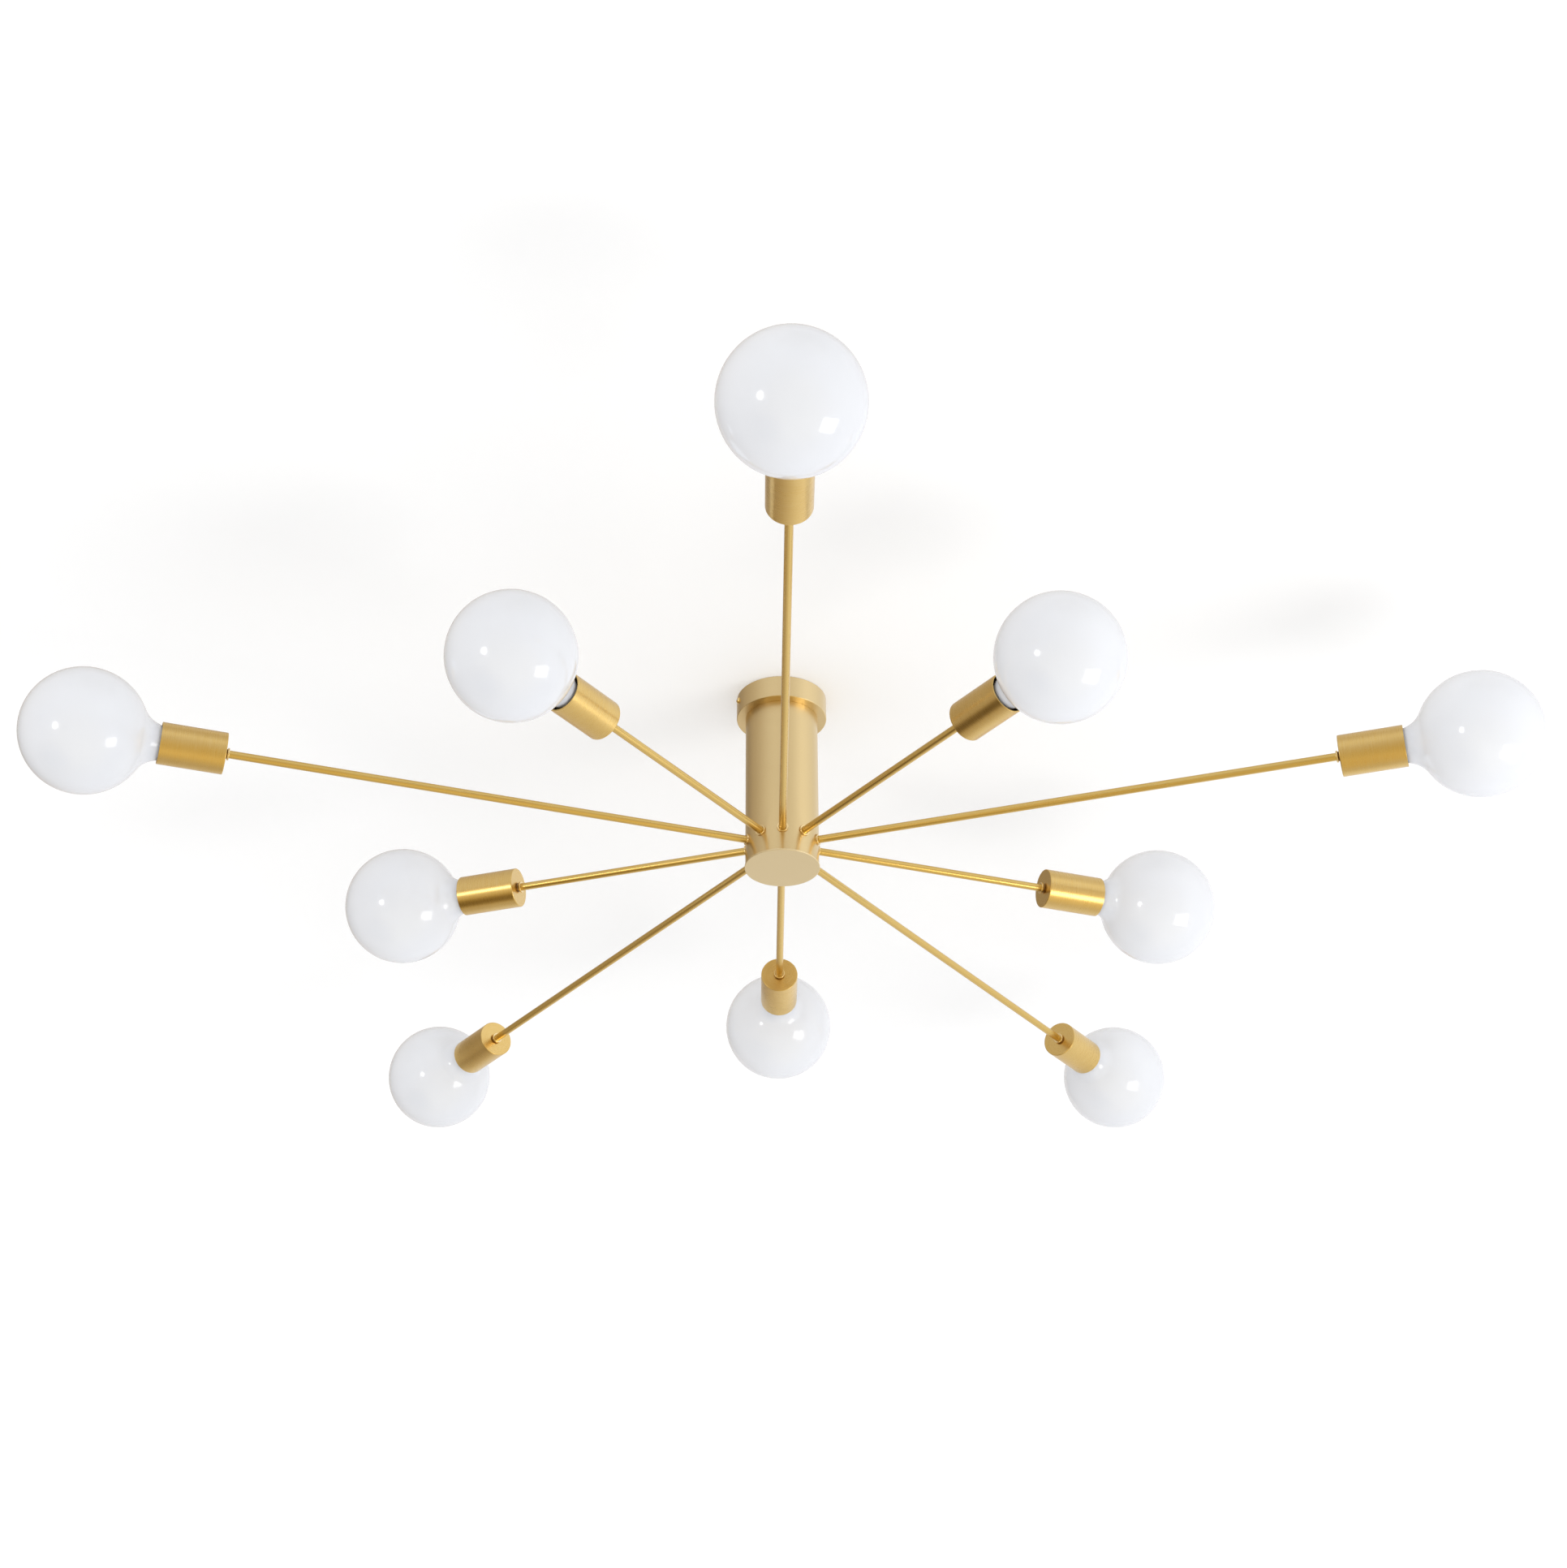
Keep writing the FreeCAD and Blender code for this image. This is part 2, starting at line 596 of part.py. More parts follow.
def bend_lead(label, diameter, run, bend, rise, turn):
    """Round lead that leaves the local origin along -X and bends up (turn 1) or down (turn -1).

    run and rise are how far its far end lies from the origin, back and up or down.
    """
    body = new_body(label)
    section = new_sketch(body, f"{label}_section", "YZ_Plane")
    draw_circle(section, f"{diameter} / 2")
    path = new_sketch(body, f"{label}_path", "XZ_Plane")
    run_at, bend_at, rise_at = (value_of(size) for size in (run, bend, rise))
    corner_start = FreeCAD.Vector(bend_at - run_at, 0, 0)
    corner_end = FreeCAD.Vector(-run_at, turn * bend_at, 0)
    centre = FreeCAD.Vector(bend_at - run_at, turn * bend_at, 0)
    diagonal = bend_at / math.sqrt(2)
    corner_middle = centre + FreeCAD.Vector(-diagonal, -turn * diagonal, 0)
    path.addGeometry([
        Part.LineSegment(FreeCAD.Vector(0, 0, 0), corner_start),
        Part.Arc(corner_start, corner_middle, corner_end),
        Part.LineSegment(corner_end, FreeCAD.Vector(-run_at, turn * rise_at, 0)),
    ])
    # An upward bend is drawn clockwise, so its arc starts at the far end
    arc_near, arc_far = (END, START) if turn > 0 else (START, END)
    path.addConstraint(Sketcher.Constraint("Coincident", 0, START, *ORIGIN))
    path.addConstraint(Sketcher.Constraint("Horizontal", 0))
    path.addConstraint(Sketcher.Constraint("Vertical", 2))
    path.addConstraint(Sketcher.Constraint("Tangent", 0, END, 1, arc_near))
    path.addConstraint(Sketcher.Constraint("Tangent", 1, arc_far, 2, START))
    bind(path, "Radius", 1, size=bend)
    bind(path, "Distance", 0, size=f"({run} - {bend})")
    bind(path, "Distance", 2, size=f"({rise} - {bend})")
    pipe = body.newObject("PartDesign::AdditivePipe", f"{label}_pipe")
    pipe.Profile = section
    pipe.Spine = path
    return body


def make_supply_lead():
    """Lead from the terminal block through the nipple down to the splice cover."""
    splice_top = f"({arm_axis_depth} - Sizes.splice_rise - Sizes.splice_height)"
    lead = bend_lead("supply_lead", "Sizes.supply_lead_diameter", block_face, "Sizes.supply_lead_bend",
                     f"({splice_top} - {block_middle_depth})", turn=-1)
    lead.setExpression("Placement.Base.x", block_face)
    raise_to(lead, block_middle_depth)
    return lead


def make_splice_cover():
    """Insulating cover over the splices of all the arm leads."""
    radius = "Sizes.splice_diameter / 2"
    body = upright_turning("splice_cover", [
        ("0", "0"), (radius, "0"), (radius, "Sizes.splice_height"), ("0", "Sizes.splice_height"),
    ])
    top_edge = ring_edge(radius, "Sizes.splice_height", "z")
    dress_edges(body, "Chamfer", "splice_edge", "Sizes.splice_bevel", top_edge)
    raise_to(body, f"{arm_axis_depth} - Sizes.splice_rise")
    return body


def make_arm_lead(arm):
    """Lead from one lampholder along its arm, then up inside the column to the splice cover."""
    lead_end = f"({arm.cup_back} + Sizes.cup_wall + Sizes.tail_length)"
    run = f"({lead_end} - Sizes.arm_lead_ring / 2)"
    lead = bend_lead(f"arm_lead_{arm.number}", "Sizes.arm_lead_diameter", run, "Sizes.arm_lead_bend",
                     "Sizes.splice_rise", turn=1)
    lead.Placement = arm.at(lead_end)
    return lead


# Arms

def make_arm_tube(arm):
    """Straight tube from inside the column to the neck before the cup."""
    length = f"({arm.arm_end} - {arm_start})"
    body = arm_turning(f"arm_{arm.number}", tube_corners(arm_radius, arm_bore_radius, "0", length))
    body.Placement = arm.at(arm_start)
    return body


def make_lock_nut(arm):
    """Hexagon nut whose corners meet the column's curved bore."""
    corner_radius = "(Sizes.lock_nut_width / sqrt(3))"
    seat = f"(sqrt({column_bore_radius}^2 - {corner_radius}^2) - Sizes.curved_seat_gap)"
    start = f"({seat} - Sizes.lock_nut_thickness)"
    return hex_nut(f"lock_nut_{arm.number}", "Sizes.lock_nut_width", "Sizes.lock_nut_thickness",
                   arm_hole_radius, arm.lying_at(start))


def make_hub_collar(arm):
    """Collar on the arm whose back is hollowed to sit on the column."""
    name = f"hub_collar_{arm.number}"
    start = column_bore_radius
    length = f"({column_radius} + Sizes.collar_thickness - {start})"
    place = arm.lying_at(start)
    disc = cylinder(f"{name}_disc", "Sizes.collar_diameter / 2", length, place)
    bore = cylinder(f"{name}_bore", arm_hole_radius, length, place)
    ring = cut(f"{name}_ring", disc, bore)
    column_foot = -value_of(f"{arm_axis_depth} + Sizes.arm_height")
    upright = FreeCAD.Placement(FreeCAD.Vector(0, 0, column_foot), FreeCAD.Rotation())
    seat_radius = f"({column_radius} + Sizes.curved_seat_gap)"
    seat = cylinder(f"{name}_seat", seat_radius, "Sizes.column_length", upright)
    return cut(name, ring, seat)


def make_cup_collar(arm):
    """Flat ring flush with the arm's outer end."""
    corners = tube_corners("Sizes.collar_diameter / 2", arm_hole_radius, "0", "Sizes.collar_thickness")
    body = arm_turning(f"cup_collar_{arm.number}", corners)
    body.Placement = arm.at(f"({arm.arm_end} - Sizes.collar_thickness)")
    return body


def make_cup_nipple(arm):
    """Stepped nipple: a spigot in the arm, the neck that shows, and a tail through the cup's end."""
    spigot = f"({arm_bore_radius} - Sizes.spigot_play)"
    bore = "Sizes.lead_bore / 2"
    neck = "Sizes.neck_diameter / 2"
    neck_start = "Sizes.spigot_length"
    neck_end = "(Sizes.spigot_length + Sizes.neck_gap)"
    tail_end = f"({neck_end} + Sizes.cup_wall + Sizes.tail_length)"
    body = arm_turning(f"cup_nipple_{arm.number}", [
        ("0", bore), ("0", spigot), (neck_start, spigot), (neck_start, neck),
        (neck_end, neck), (neck_end, tail_radius), (tail_end, tail_radius), (tail_end, bore),
    ])
    body.Placement = arm.at(f"({arm.arm_end} - Sizes.spigot_length)")
    return body


def make_cup(arm):
    """Plain brass cup, closed towards the arm and open towards the bulb."""
    label = f"cup_{arm.number}"
    body = arm_turning(label, [
        ("0", tail_hole_radius), ("0", cup_radius), (cup_length, cup_radius),
        (cup_length, cup_bore_radius), ("Sizes.cup_wall", cup_bore_radius),
        ("Sizes.cup_wall", tail_hole_radius),
    ])
    dress_edges(body, "Chamfer", f"{label}_edge", "Sizes.cup_edge_bevel", ring_edge(cup_radius, "0"))
    body.Placement = arm.at(arm.cup_back)
    return body


def make_lampholder(arm):
    """Moulded holder: a heel round the nipple's tail and a deep well for the threaded shell."""
    name = f"lampholder_{arm.number}"
    heel = "Sizes.holder_heel_diameter / 2"
    radius = "Sizes.holder_diameter / 2"
    shoulder = f"(Sizes.holder_heel_length + {radius} - {heel})"
    body = arm_turning(name, [
        ("Sizes.tail_length", "0"), ("Sizes.tail_length", tail_hole_radius), ("0", tail_hole_radius),
        ("0", heel), ("Sizes.holder_heel_length", heel), (shoulder, radius),
        (holder_length, radius), (holder_length, holder_bore_radius),
        ("Sizes.holder_floor", holder_bore_radius), ("Sizes.holder_floor", "0"),
    ])
    outer_edge = ring_edge(radius, holder_length)
    inner_edge = ring_edge(holder_bore_radius, holder_length)
    dress_edges(body, "Chamfer", f"{name}_mouth", "Sizes.holder_mouth_bevel",
                lambda edge: outer_edge(edge) or inner_edge(edge))
    body.Placement = arm.at(f"({arm.cup_back} + Sizes.cup_wall)")
    return body


def make_lampholder_shell(arm):
    """Threaded shell, shown plain, that the bulb's cap screws into."""
    bore = "Sizes.shell_bore / 2"
    start = "(Sizes.holder_floor + Sizes.shell_foot)"
    end = f"({holder_length} - Sizes.holder_mouth_bevel - Sizes.shell_recess)"
    corners = tube_corners(f"({bore} + Sizes.shell_wall)", bore, start, end)
    body = arm_turning(f"lampholder_shell_{arm.number}", corners)
    body.Placement = arm.at(f"({arm.cup_back} + Sizes.cup_wall)")
    return body


def make_lampholder_contact(arm):
    """Sprung strip on the holder's floor that the cap's tip meets."""
    body = new_body(f"lampholder_contact_{arm.number}")
    strip = new_sketch(body, f"contact_{arm.number}_strip", "XY_Plane")
    floor_at = f"({arm.cup_back} + Sizes.cup_wall + Sizes.holder_floor)"
    top = "Sizes.contact_rise"
    thick = "Sizes.contact_thickness"
    half_tip = "Sizes.cap_tip_diameter / 4"
    draw_outline(strip, [
        ("0", "-Sizes.contact_foot"), (thick, "-Sizes.contact_foot"), (thick, f"-({half_tip} + {thick})"),
        (top, f"-{half_tip}"), (top, half_tip), (f"({top} - {thick})", half_tip),
        (f"({top} - {thick})", f"-({half_tip} - {thick})"), ("0", f"-{half_tip}"),
    ])
    extrude(body, "Pad", strip, f"contact_{arm.number}_pad", "Sizes.contact_width", both_ways=True)
    body.Placement = arm.at(floor_at)
    return body


# Bulbs, drawn from the globe's centre back towards the column

def glass_wall_curve(inset):
    """Points and centres of the envelope's skin, or of its bore where inset is the wall.

    The globe runs through a hollow blend into a straight taper, tangent at both joints, and the taper
    runs to the stem inside the cap.
    """
    sphere = value_of(globe_radius) - inset
    blend = value_of("Sizes.neck_blend") + inset
    mouth = FreeCAD.Vector(value_of(mouth_to_globe), value_of("Sizes.neck_at_mouth") / 2, 0)
    stem_radius = value_of(cap_bore_radius) - value_of("Sizes.stem_play")
    stem_start = FreeCAD.Vector(value_of(f"{bulb_tip} - {cap_length}"), stem_radius, 0)
    taper = (stem_start - mouth).normalize()
    outward = FreeCAD.Vector(-taper.y, taper.x, 0)
    line_offset = outward.dot(mouth) - inset
    reach = math.sqrt((sphere + blend) ** 2 - (line_offset + blend) ** 2)
    blend_centre = outward * (line_offset + blend) + taper * reach
    leaves_globe = blend_centre * (sphere / (sphere + blend))
    meets_taper = blend_centre - outward * blend
    stem_skin = stem_radius - inset
    taper_end = mouth - outward * inset
    taper_end = taper_end + taper * ((taper_end.y - stem_skin) / -taper.y)
    return {"pole": FreeCAD.Vector(-sphere, 0, 0), "centre": blend_centre, "blend": blend, "sphere": sphere,
            "leaves_globe": leaves_globe, "meets_taper": meets_taper, "taper_end": taper_end}


def middle_of_arc(centre, start, end):
    """Point half way along the shorter arc from start to end."""
    radius = (start - centre).Length
    return centre + ((start + end) * 0.5 - centre).normalize() * radius


def make_globe(arm):
    """Blown glass envelope: globe, hollow blend, tapered neck and the stem inside the cap."""
    label = f"globe_{arm.number}"
    body = new_body(label)
    sketch = new_sketch(body, f"{label}_outline", "XY_Plane")
    skin = glass_wall_curve(0)
    bore = glass_wall_curve(value_of("Sizes.glass_wall"))
    stem_end = value_of(f"{bulb_tip} - {cap_length} + Sizes.stem_length")
    skin_stem = FreeCAD.Vector(stem_end, skin["taper_end"].y, 0)
    bore_stem = FreeCAD.Vector(stem_end, bore["taper_end"].y, 0)
    globe_centre = FreeCAD.Vector(0, 0, 0)

    def side(curve):
        crown = FreeCAD.Vector(0, curve["sphere"], 0)
        hollow = middle_of_arc(curve["centre"], curve["leaves_globe"], curve["meets_taper"])
        return [
            Part.Arc(curve["pole"], crown, curve["leaves_globe"]),
            Part.Arc(curve["leaves_globe"], hollow, curve["meets_taper"]),
            Part.LineSegment(curve["meets_taper"], curve["taper_end"]),
        ]

    globe, hollow, taper = sketch.addGeometry(side(skin))
    stem, rim, bore_stem_line = sketch.addGeometry([
        Part.LineSegment(skin["taper_end"], skin_stem),
        Part.LineSegment(skin_stem, bore_stem),
        Part.LineSegment(bore_stem, bore["taper_end"]),
    ])
    bore_globe, bore_hollow, bore_taper = sketch.addGeometry(side(bore))
    wall = sketch.addGeometry(Part.LineSegment(bore["pole"], skin["pole"]))

    def hold(kind, *places):
        sketch.addConstraint(Sketcher.Constraint(kind, *places))

    # Arcs run counter-clockwise in a sketch, so the globe's and the blend's both start where they meet
    for globe_arc, hollow_arc, straight in ((globe, hollow, taper), (bore_globe, bore_hollow, bore_taper)):
        hold("PointOnObject", globe_arc, END, ACROSS_AXIS)
        hold("Coincident", globe_arc, CENTRE, *ORIGIN)
        hold("Tangent", globe_arc, START, hollow_arc, START)
        hold("Tangent", hollow_arc, END, straight, START)
    hold("Coincident", taper, END, stem, START)
    hold("Coincident", stem, END, rim, START)
    hold("Coincident", rim, END, bore_stem_line, START)
    hold("Coincident", bore_stem_line, END, bore_taper, END)
    hold("Coincident", wall, START, bore_globe, END)
    hold("Coincident", wall, END, globe, END)
    hold("Horizontal", stem)
    hold("Vertical", rim)
    hold("Horizontal", bore_stem_line)
    hold("Parallel", taper, bore_taper)
    bind(sketch, "Radius", globe, size=globe_radius)
    bind(sketch, "Radius", bore_globe, size=f"({globe_radius} - Sizes.glass_wall)")
    bind(sketch, "Radius", hollow, size="Sizes.neck_blend")
    bind(sketch, "Radius", bore_hollow, size="(Sizes.neck_blend + Sizes.glass_wall)")
    cap_mouth = f"({bulb_tip} - {cap_length})"
    pin(sketch, stem, START, cap_mouth, f"({cap_bore_radius} - Sizes.stem_play)")
    bind(sketch, "DistanceX", *ORIGIN, stem, END, size=f"({cap_mouth} + Sizes.stem_length)")
    bind(sketch, "Distance", rim, size="Sizes.glass_wall")
    feature = body.newObject("PartDesign::Revolution", f"{label}_blown")
    feature.Profile = sketch
    feature.ReferenceAxis = (sketch, ["H_Axis"])
    feature.Angle = 360
    half_turn = FreeCAD.Placement(FreeCAD.Vector(), FreeCAD.Rotation(FreeCAD.Vector(0, 0, 1), 180))
    body.Placement = arm.at(arm.globe_centre) * half_turn
    return body


def make_bulb_cap(arm):
    """Hollow cap, shown without its thread: a skirt, an insulating cone and a contact tip."""
    label = f"bulb_cap_{arm.number}"
    start = f"({bulb_tip} - {cap_length})"
    thread_end = f"({start} + Sizes.cap_thread_length)"
    cone_end = f"({bulb_tip} - Sizes.cap_tip_height)"
    cone_radius = "Sizes.cap_insulator_diameter / 2"
    tip_radius = "Sizes.cap_tip_diameter / 2"
    wall = "Sizes.cap_wall"
    body = arm_turning(label, [
        (start, cap_bore_radius), (start, cap_radius), (thread_end, cap_radius), (cone_end, cone_radius),
        (cone_end, tip_radius), (bulb_tip, tip_radius), (bulb_tip, "0"), (f"({cone_end} - {wall})", "0"),
        (f"({cone_end} - {wall})", f"({cone_radius} - {wall})"),
        (f"({thread_end} - {wall})", cap_bore_radius),
    ])
    half_turn = FreeCAD.Placement(FreeCAD.Vector(), FreeCAD.Rotation(FreeCAD.Vector(0, 0, 1), 180))
    body.Placement = arm.at(arm.globe_centre) * half_turn
    return body


def make_light():
    """Every named piece of the light, top to bottom and then along each arm."""
    pieces = [
        make_bracket(), make_earth_screw(), make_terminal_block(), make_canopy(),
        group("canopy_side_screws", [make_side_screw(side) for side in ("left", "right")]),
        make_column_tube(), make_top_plate(), make_bottom_cover(), make_canopy_nipple(), make_nipple_nuts(),
        make_supply_lead(), make_splice_cover(),
    ]
    rings = {
        "arm_leads": make_arm_lead,
        "arm_lock_nuts": make_lock_nut,
        "hub_collars": make_hub_collar,
        "cup_collars": make_cup_collar,
        "cup_nipples": make_cup_nipple,
        "lampholders": make_lampholder,
        "lampholder_shells": make_lampholder_shell,
        "lampholder_contacts": make_lampholder_contact,
    }
    for label, make in rings.items():
        pieces.append(group(label, [make(arm) for arm in arms]))
    for make in (make_arm_tube, make_cup, make_globe, make_bulb_cap):
        pieces.extend(make(arm) for arm in arms)
    return pieces


def check(pieces):
    """Stop if any object failed or any piece has no sound shape."""
    for item in doc.Objects:
        if {"Invalid", "Error"} & set(item.State):
            raise RuntimeError(f"{item.Label} failed: {item.State}")
    for piece in pieces:
        if piece.Shape.isNull() or not piece.Shape.isValid() or not piece.Shape.Solids:
            raise RuntimeError(f"{piece.Label} has no valid solid")


light = make_light()
doc.recompute()
check(light)
os.makedirs("parts", exist_ok=True)
for piece in light:
    piece.Shape.exportStep(f"parts/{piece.Label}.step")
print(f"{len(light)} nodes, {sum(len(piece.Shape.Solids) for piece in light)} solids")
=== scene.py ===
import json
import math

import bmesh
import bpy
from mathutils import Matrix, Vector


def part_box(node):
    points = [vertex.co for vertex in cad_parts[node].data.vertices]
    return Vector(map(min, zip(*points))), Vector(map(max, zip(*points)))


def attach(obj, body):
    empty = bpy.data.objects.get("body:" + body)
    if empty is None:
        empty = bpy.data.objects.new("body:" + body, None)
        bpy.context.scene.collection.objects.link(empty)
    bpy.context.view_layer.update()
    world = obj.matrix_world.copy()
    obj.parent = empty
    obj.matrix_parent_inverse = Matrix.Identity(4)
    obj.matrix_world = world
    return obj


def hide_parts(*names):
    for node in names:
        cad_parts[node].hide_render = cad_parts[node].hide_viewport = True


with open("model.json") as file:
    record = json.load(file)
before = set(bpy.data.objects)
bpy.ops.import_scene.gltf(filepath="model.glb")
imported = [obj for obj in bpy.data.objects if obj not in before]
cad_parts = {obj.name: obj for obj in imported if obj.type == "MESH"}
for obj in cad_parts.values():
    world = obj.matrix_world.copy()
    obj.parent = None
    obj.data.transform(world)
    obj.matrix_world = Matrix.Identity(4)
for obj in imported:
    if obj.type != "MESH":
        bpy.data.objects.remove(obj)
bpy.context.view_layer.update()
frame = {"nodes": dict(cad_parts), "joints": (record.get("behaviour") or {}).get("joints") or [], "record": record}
print("frame loaded:", len(frame["nodes"]), "nodes")

mm = 0.001
sharpAngle = math.radians(35)       # a steeper edge than this shows as an edge
weld = 0.001 * mm                   # points closer than this are one point


# places read from the frame

def armDirection(number):
    # each bulb slides along its own arm, so the joint's axis is the arm's direction
    axis = next(j["axis"] for j in frame["joints"] if j["child"] == f"bulb_{number}")
    return Vector(axis)


def reachOf(node, direction):
    # how near and how far a node reaches along a direction from the column's axis
    along = [direction.dot(v.co) for v in frame["nodes"][node].data.vertices]
    return min(along), max(along)


armCount = len(frame["joints"])
columnFoot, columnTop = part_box("column_tube")
canopyFoot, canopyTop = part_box("canopy")
coverFoot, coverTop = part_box("bottom_cover")
armFoot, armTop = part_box("arm_1")

ring = {
    "count": armCount,
    "firstAngle": math.atan2(armDirection(1).y, armDirection(1).x),
    "step": 2 * math.pi / armCount,
    "height": (armFoot.z + armTop.z) / 2,
    "longCup": reachOf("cup_1", armDirection(1))[0],     # column's axis to the back of a long arm's cup
    "shortCup": reachOf("cup_2", armDirection(2))[0],
    "tubeStart": reachOf("arm_1", armDirection(1))[0],
    "columnRadius": columnTop.x,
}


# small tools for node trees

class Wire:
    # an output socket; arithmetic on it adds Math nodes to its tree
    def __init__(self, bench, socket):
        self.bench = bench
        self.socket = socket

    def math(self, operation, *others):
        terms = (self, *others)
        return self.bench.node("ShaderNodeMath", {"operation": operation}, dict(enumerate(terms)))

    def turned(self, operation, other):
        return self.bench.node("ShaderNodeMath", {"operation": operation}, {0: other, 1: self})

    def __add__(self, other):
        return self.math("ADD", other)

    def __radd__(self, other):
        return self.turned("ADD", other)

    def __sub__(self, other):
        return self.math("SUBTRACT", other)

    def __rsub__(self, other):
        return self.turned("SUBTRACT", other)

    def __mul__(self, other):
        return self.math("MULTIPLY", other)

    def __rmul__(self, other):
        return self.turned("MULTIPLY", other)

    def __truediv__(self, other):
        return self.math("DIVIDE", other)

    def __lt__(self, other):
        return self.math("LESS_THAN", other)

    def __gt__(self, other):
        return self.math("GREATER_THAN", other)

    def __mod__(self, other):
        return self.math("FLOORED_MODULO", other)

    def sin(self):
        return self.math("SINE")

    def cos(self):
        return self.math("COSINE")

    def sqrt(self):
        return self.math("SQRT")

    def rounded(self):
        return self.math("ROUND")

    def out(self, name):
        # another output of the same node
        return Wire(self.bench, self.bench.find(self.socket.node.outputs, name))


class Bench:
    # adds nodes to one tree
    def __init__(self, tree):
        self.tree = tree

    def find(self, sockets, key):
        if isinstance(key, int):
            return sockets[key]
        return next(s for s in sockets if s.enabled and key in (s.name, s.identifier))

    def node(self, kind, settings=None, sockets=None):
        made = self.tree.nodes.new(kind)
        for name, value in (settings or {}).items():
            setattr(made, name, value)
        for key, value in (sockets or {}).items():
            self.plug(made, key, value)
        first = next((s for s in made.outputs if s.enabled), None)
        return Wire(self, first) if first else made

    def plug(self, made, key, value):
        socket = self.find(made.inputs, key)
        if isinstance(value, Wire):
            self.tree.links.new(value.socket, socket)
        elif isinstance(value, tuple) and len(value) == 3 and socket.type == "RGBA":
            socket.default_value = (*value, 1)
        else:
            socket.default_value = value

    def vector(self, x, y, z):
        return self.node("ShaderNodeCombineXYZ", None, {"X": x, "Y": y, "Z": z})

    def mixed(self, factor, first, second):
        # blend of two colours
        return self.node("ShaderNodeMix", {"data_type": "RGBA"}, {"Factor": factor, "A": first, "B": second})

    def between(self, value, low, high, toLow=0.0, toHigh=1.0):
        # smooth step of a value from one range to another
        return self.node("ShaderNodeMapRange", {"interpolation_type": "SMOOTHSTEP"}, {
            "Value": value, "From Min": low, "From Max": high, "To Min": toLow, "To Max": toHigh,
        })

    def noise(self, place, scale, detail=2.0, roughness=0.5, distortion=0.0):
        return self.node("ShaderNodeTexNoise", {"noise_dimensions": "3D"}, {
            "Vector": place, "Scale": scale, "Detail": detail,
            "Roughness": roughness, "Distortion": distortion,
        })

    def bump(self, height, strength, distance):
        return self.node("ShaderNodeBump", None, {
            "Height": height, "Strength": strength, "Distance": distance,
        })


# Geometry Nodes: an outline turned into a piece, and pieces placed along the arms

def newGeometryTree(name, inputs):
    tree = bpy.data.node_groups.new(name, "GeometryNodeTree")
    for label, (kind, value) in inputs.items():
        socket = tree.interface.new_socket(label, in_out="INPUT", socket_type=kind)
        if value is not None:
            socket.default_value = value
    tree.interface.new_socket("Geometry", in_out="OUTPUT", socket_type="NodeSocketGeometry")
    bench = Bench(tree)
    return tree, bench, bench.node("NodeGroupInput")


turnInputs = {
    "Outline": ("NodeSocketGeometry", None),
    "Segments": ("NodeSocketInt", 96),
    "Thread Depth": ("NodeSocketFloat", 0.0),
    "Thread Pitch": ("NodeSocketFloat", 1 * mm),
    "Thread From": ("NodeSocketFloat", 0.0),
    "Thread To": ("NodeSocketFloat", 0.0),
    "Thread Fade": ("NodeSocketFloat", 1 * mm),
}


def makeTurnedTree():
    # the outline's points give length along X and radius; a grid is wrapped round them
    tree, bench, given = newGeometryTree("turnedPiece", turnInputs)
    outline = given.out("Outline")
    pointCount = bench.node("GeometryNodeAttributeDomainSize", {"component": "MESH"}, {"Geometry": outline})
    place = bench.node("GeometryNodeInputPosition")
    parts = bench.node("ShaderNodeSeparateXYZ", None, {0: place})
    # the grid is one unit wide about its middle: X picks the outline's point, Y the share of a turn
    row = ((parts.out("X") + 0.5) * (pointCount - 1)).rounded()
    turn = parts.out("Y") + 0.5
    grid = bench.node("GeometryNodeMeshGrid", None, {
        "Size X": 1.0, "Size Y": 1.0, "Vertices X": pointCount, "Vertices Y": given.out("Segments") + 1,
    })

    def sampled(kind, value):
        settings = {"data_type": kind, "domain": "POINT", "clamp": True}
        return bench.node("GeometryNodeSampleIndex", settings, {
            "Geometry": outline, "Value": value, "Index": row,
        })

    travelled = bench.node("GeometryNodeInputNamedAttribute", {"data_type": "FLOAT"}, {"Name": "run"})
    run = sampled("FLOAT", travelled)
    corner = bench.node("ShaderNodeSeparateXYZ", None, {0: sampled("FLOAT_VECTOR", place)})
    along = corner.out("X")
    radius = corner.out("Y")
    # a rolled thread pulls the wall in by a wave that climbs one pitch each turn
    fade = given.out("Thread Fade")
    inside = (bench.between(along, given.out("Thread From"), given.out("Thread From") + fade)
              * bench.between(along, given.out("Thread To") - fade, given.out("Thread To"), 1.0, 0.0))
    wave = 0.5 - 0.5 * ((along / given.out("Thread Pitch") - turn) * (2 * math.pi)).cos()
    threaded = radius - given.out("Thread Depth") * wave * inside
    mapped = bench.node("GeometryNodeStoreNamedAttribute", {"data_type": "FLOAT2", "domain": "CORNER"}, {
        "Geometry": grid, "Name": "UVMap", "Value": bench.vector(run, turn, 0.0),
    })
    angle = turn * (2 * math.pi)
    wrapped = bench.node("GeometryNodeSetPosition", None, {
        "Geometry": mapped, "Position": bench.vector(along, threaded * angle.cos(), threaded * angle.sin()),
    })
    closed = bench.node("GeometryNodeMergeByDistance", None, {"Geometry": wrapped, "Distance": 2 * weld})
    bench.node("NodeGroupOutput", None, {"Geometry": closed})
    return tree


turnedTree = makeTurnedTree()


def turnedGroup(bench, given):
    sockets = {name: given.out(name) for name in turnInputs}
    return bench.node("GeometryNodeGroup", {"node_tree": turnedTree}, sockets)


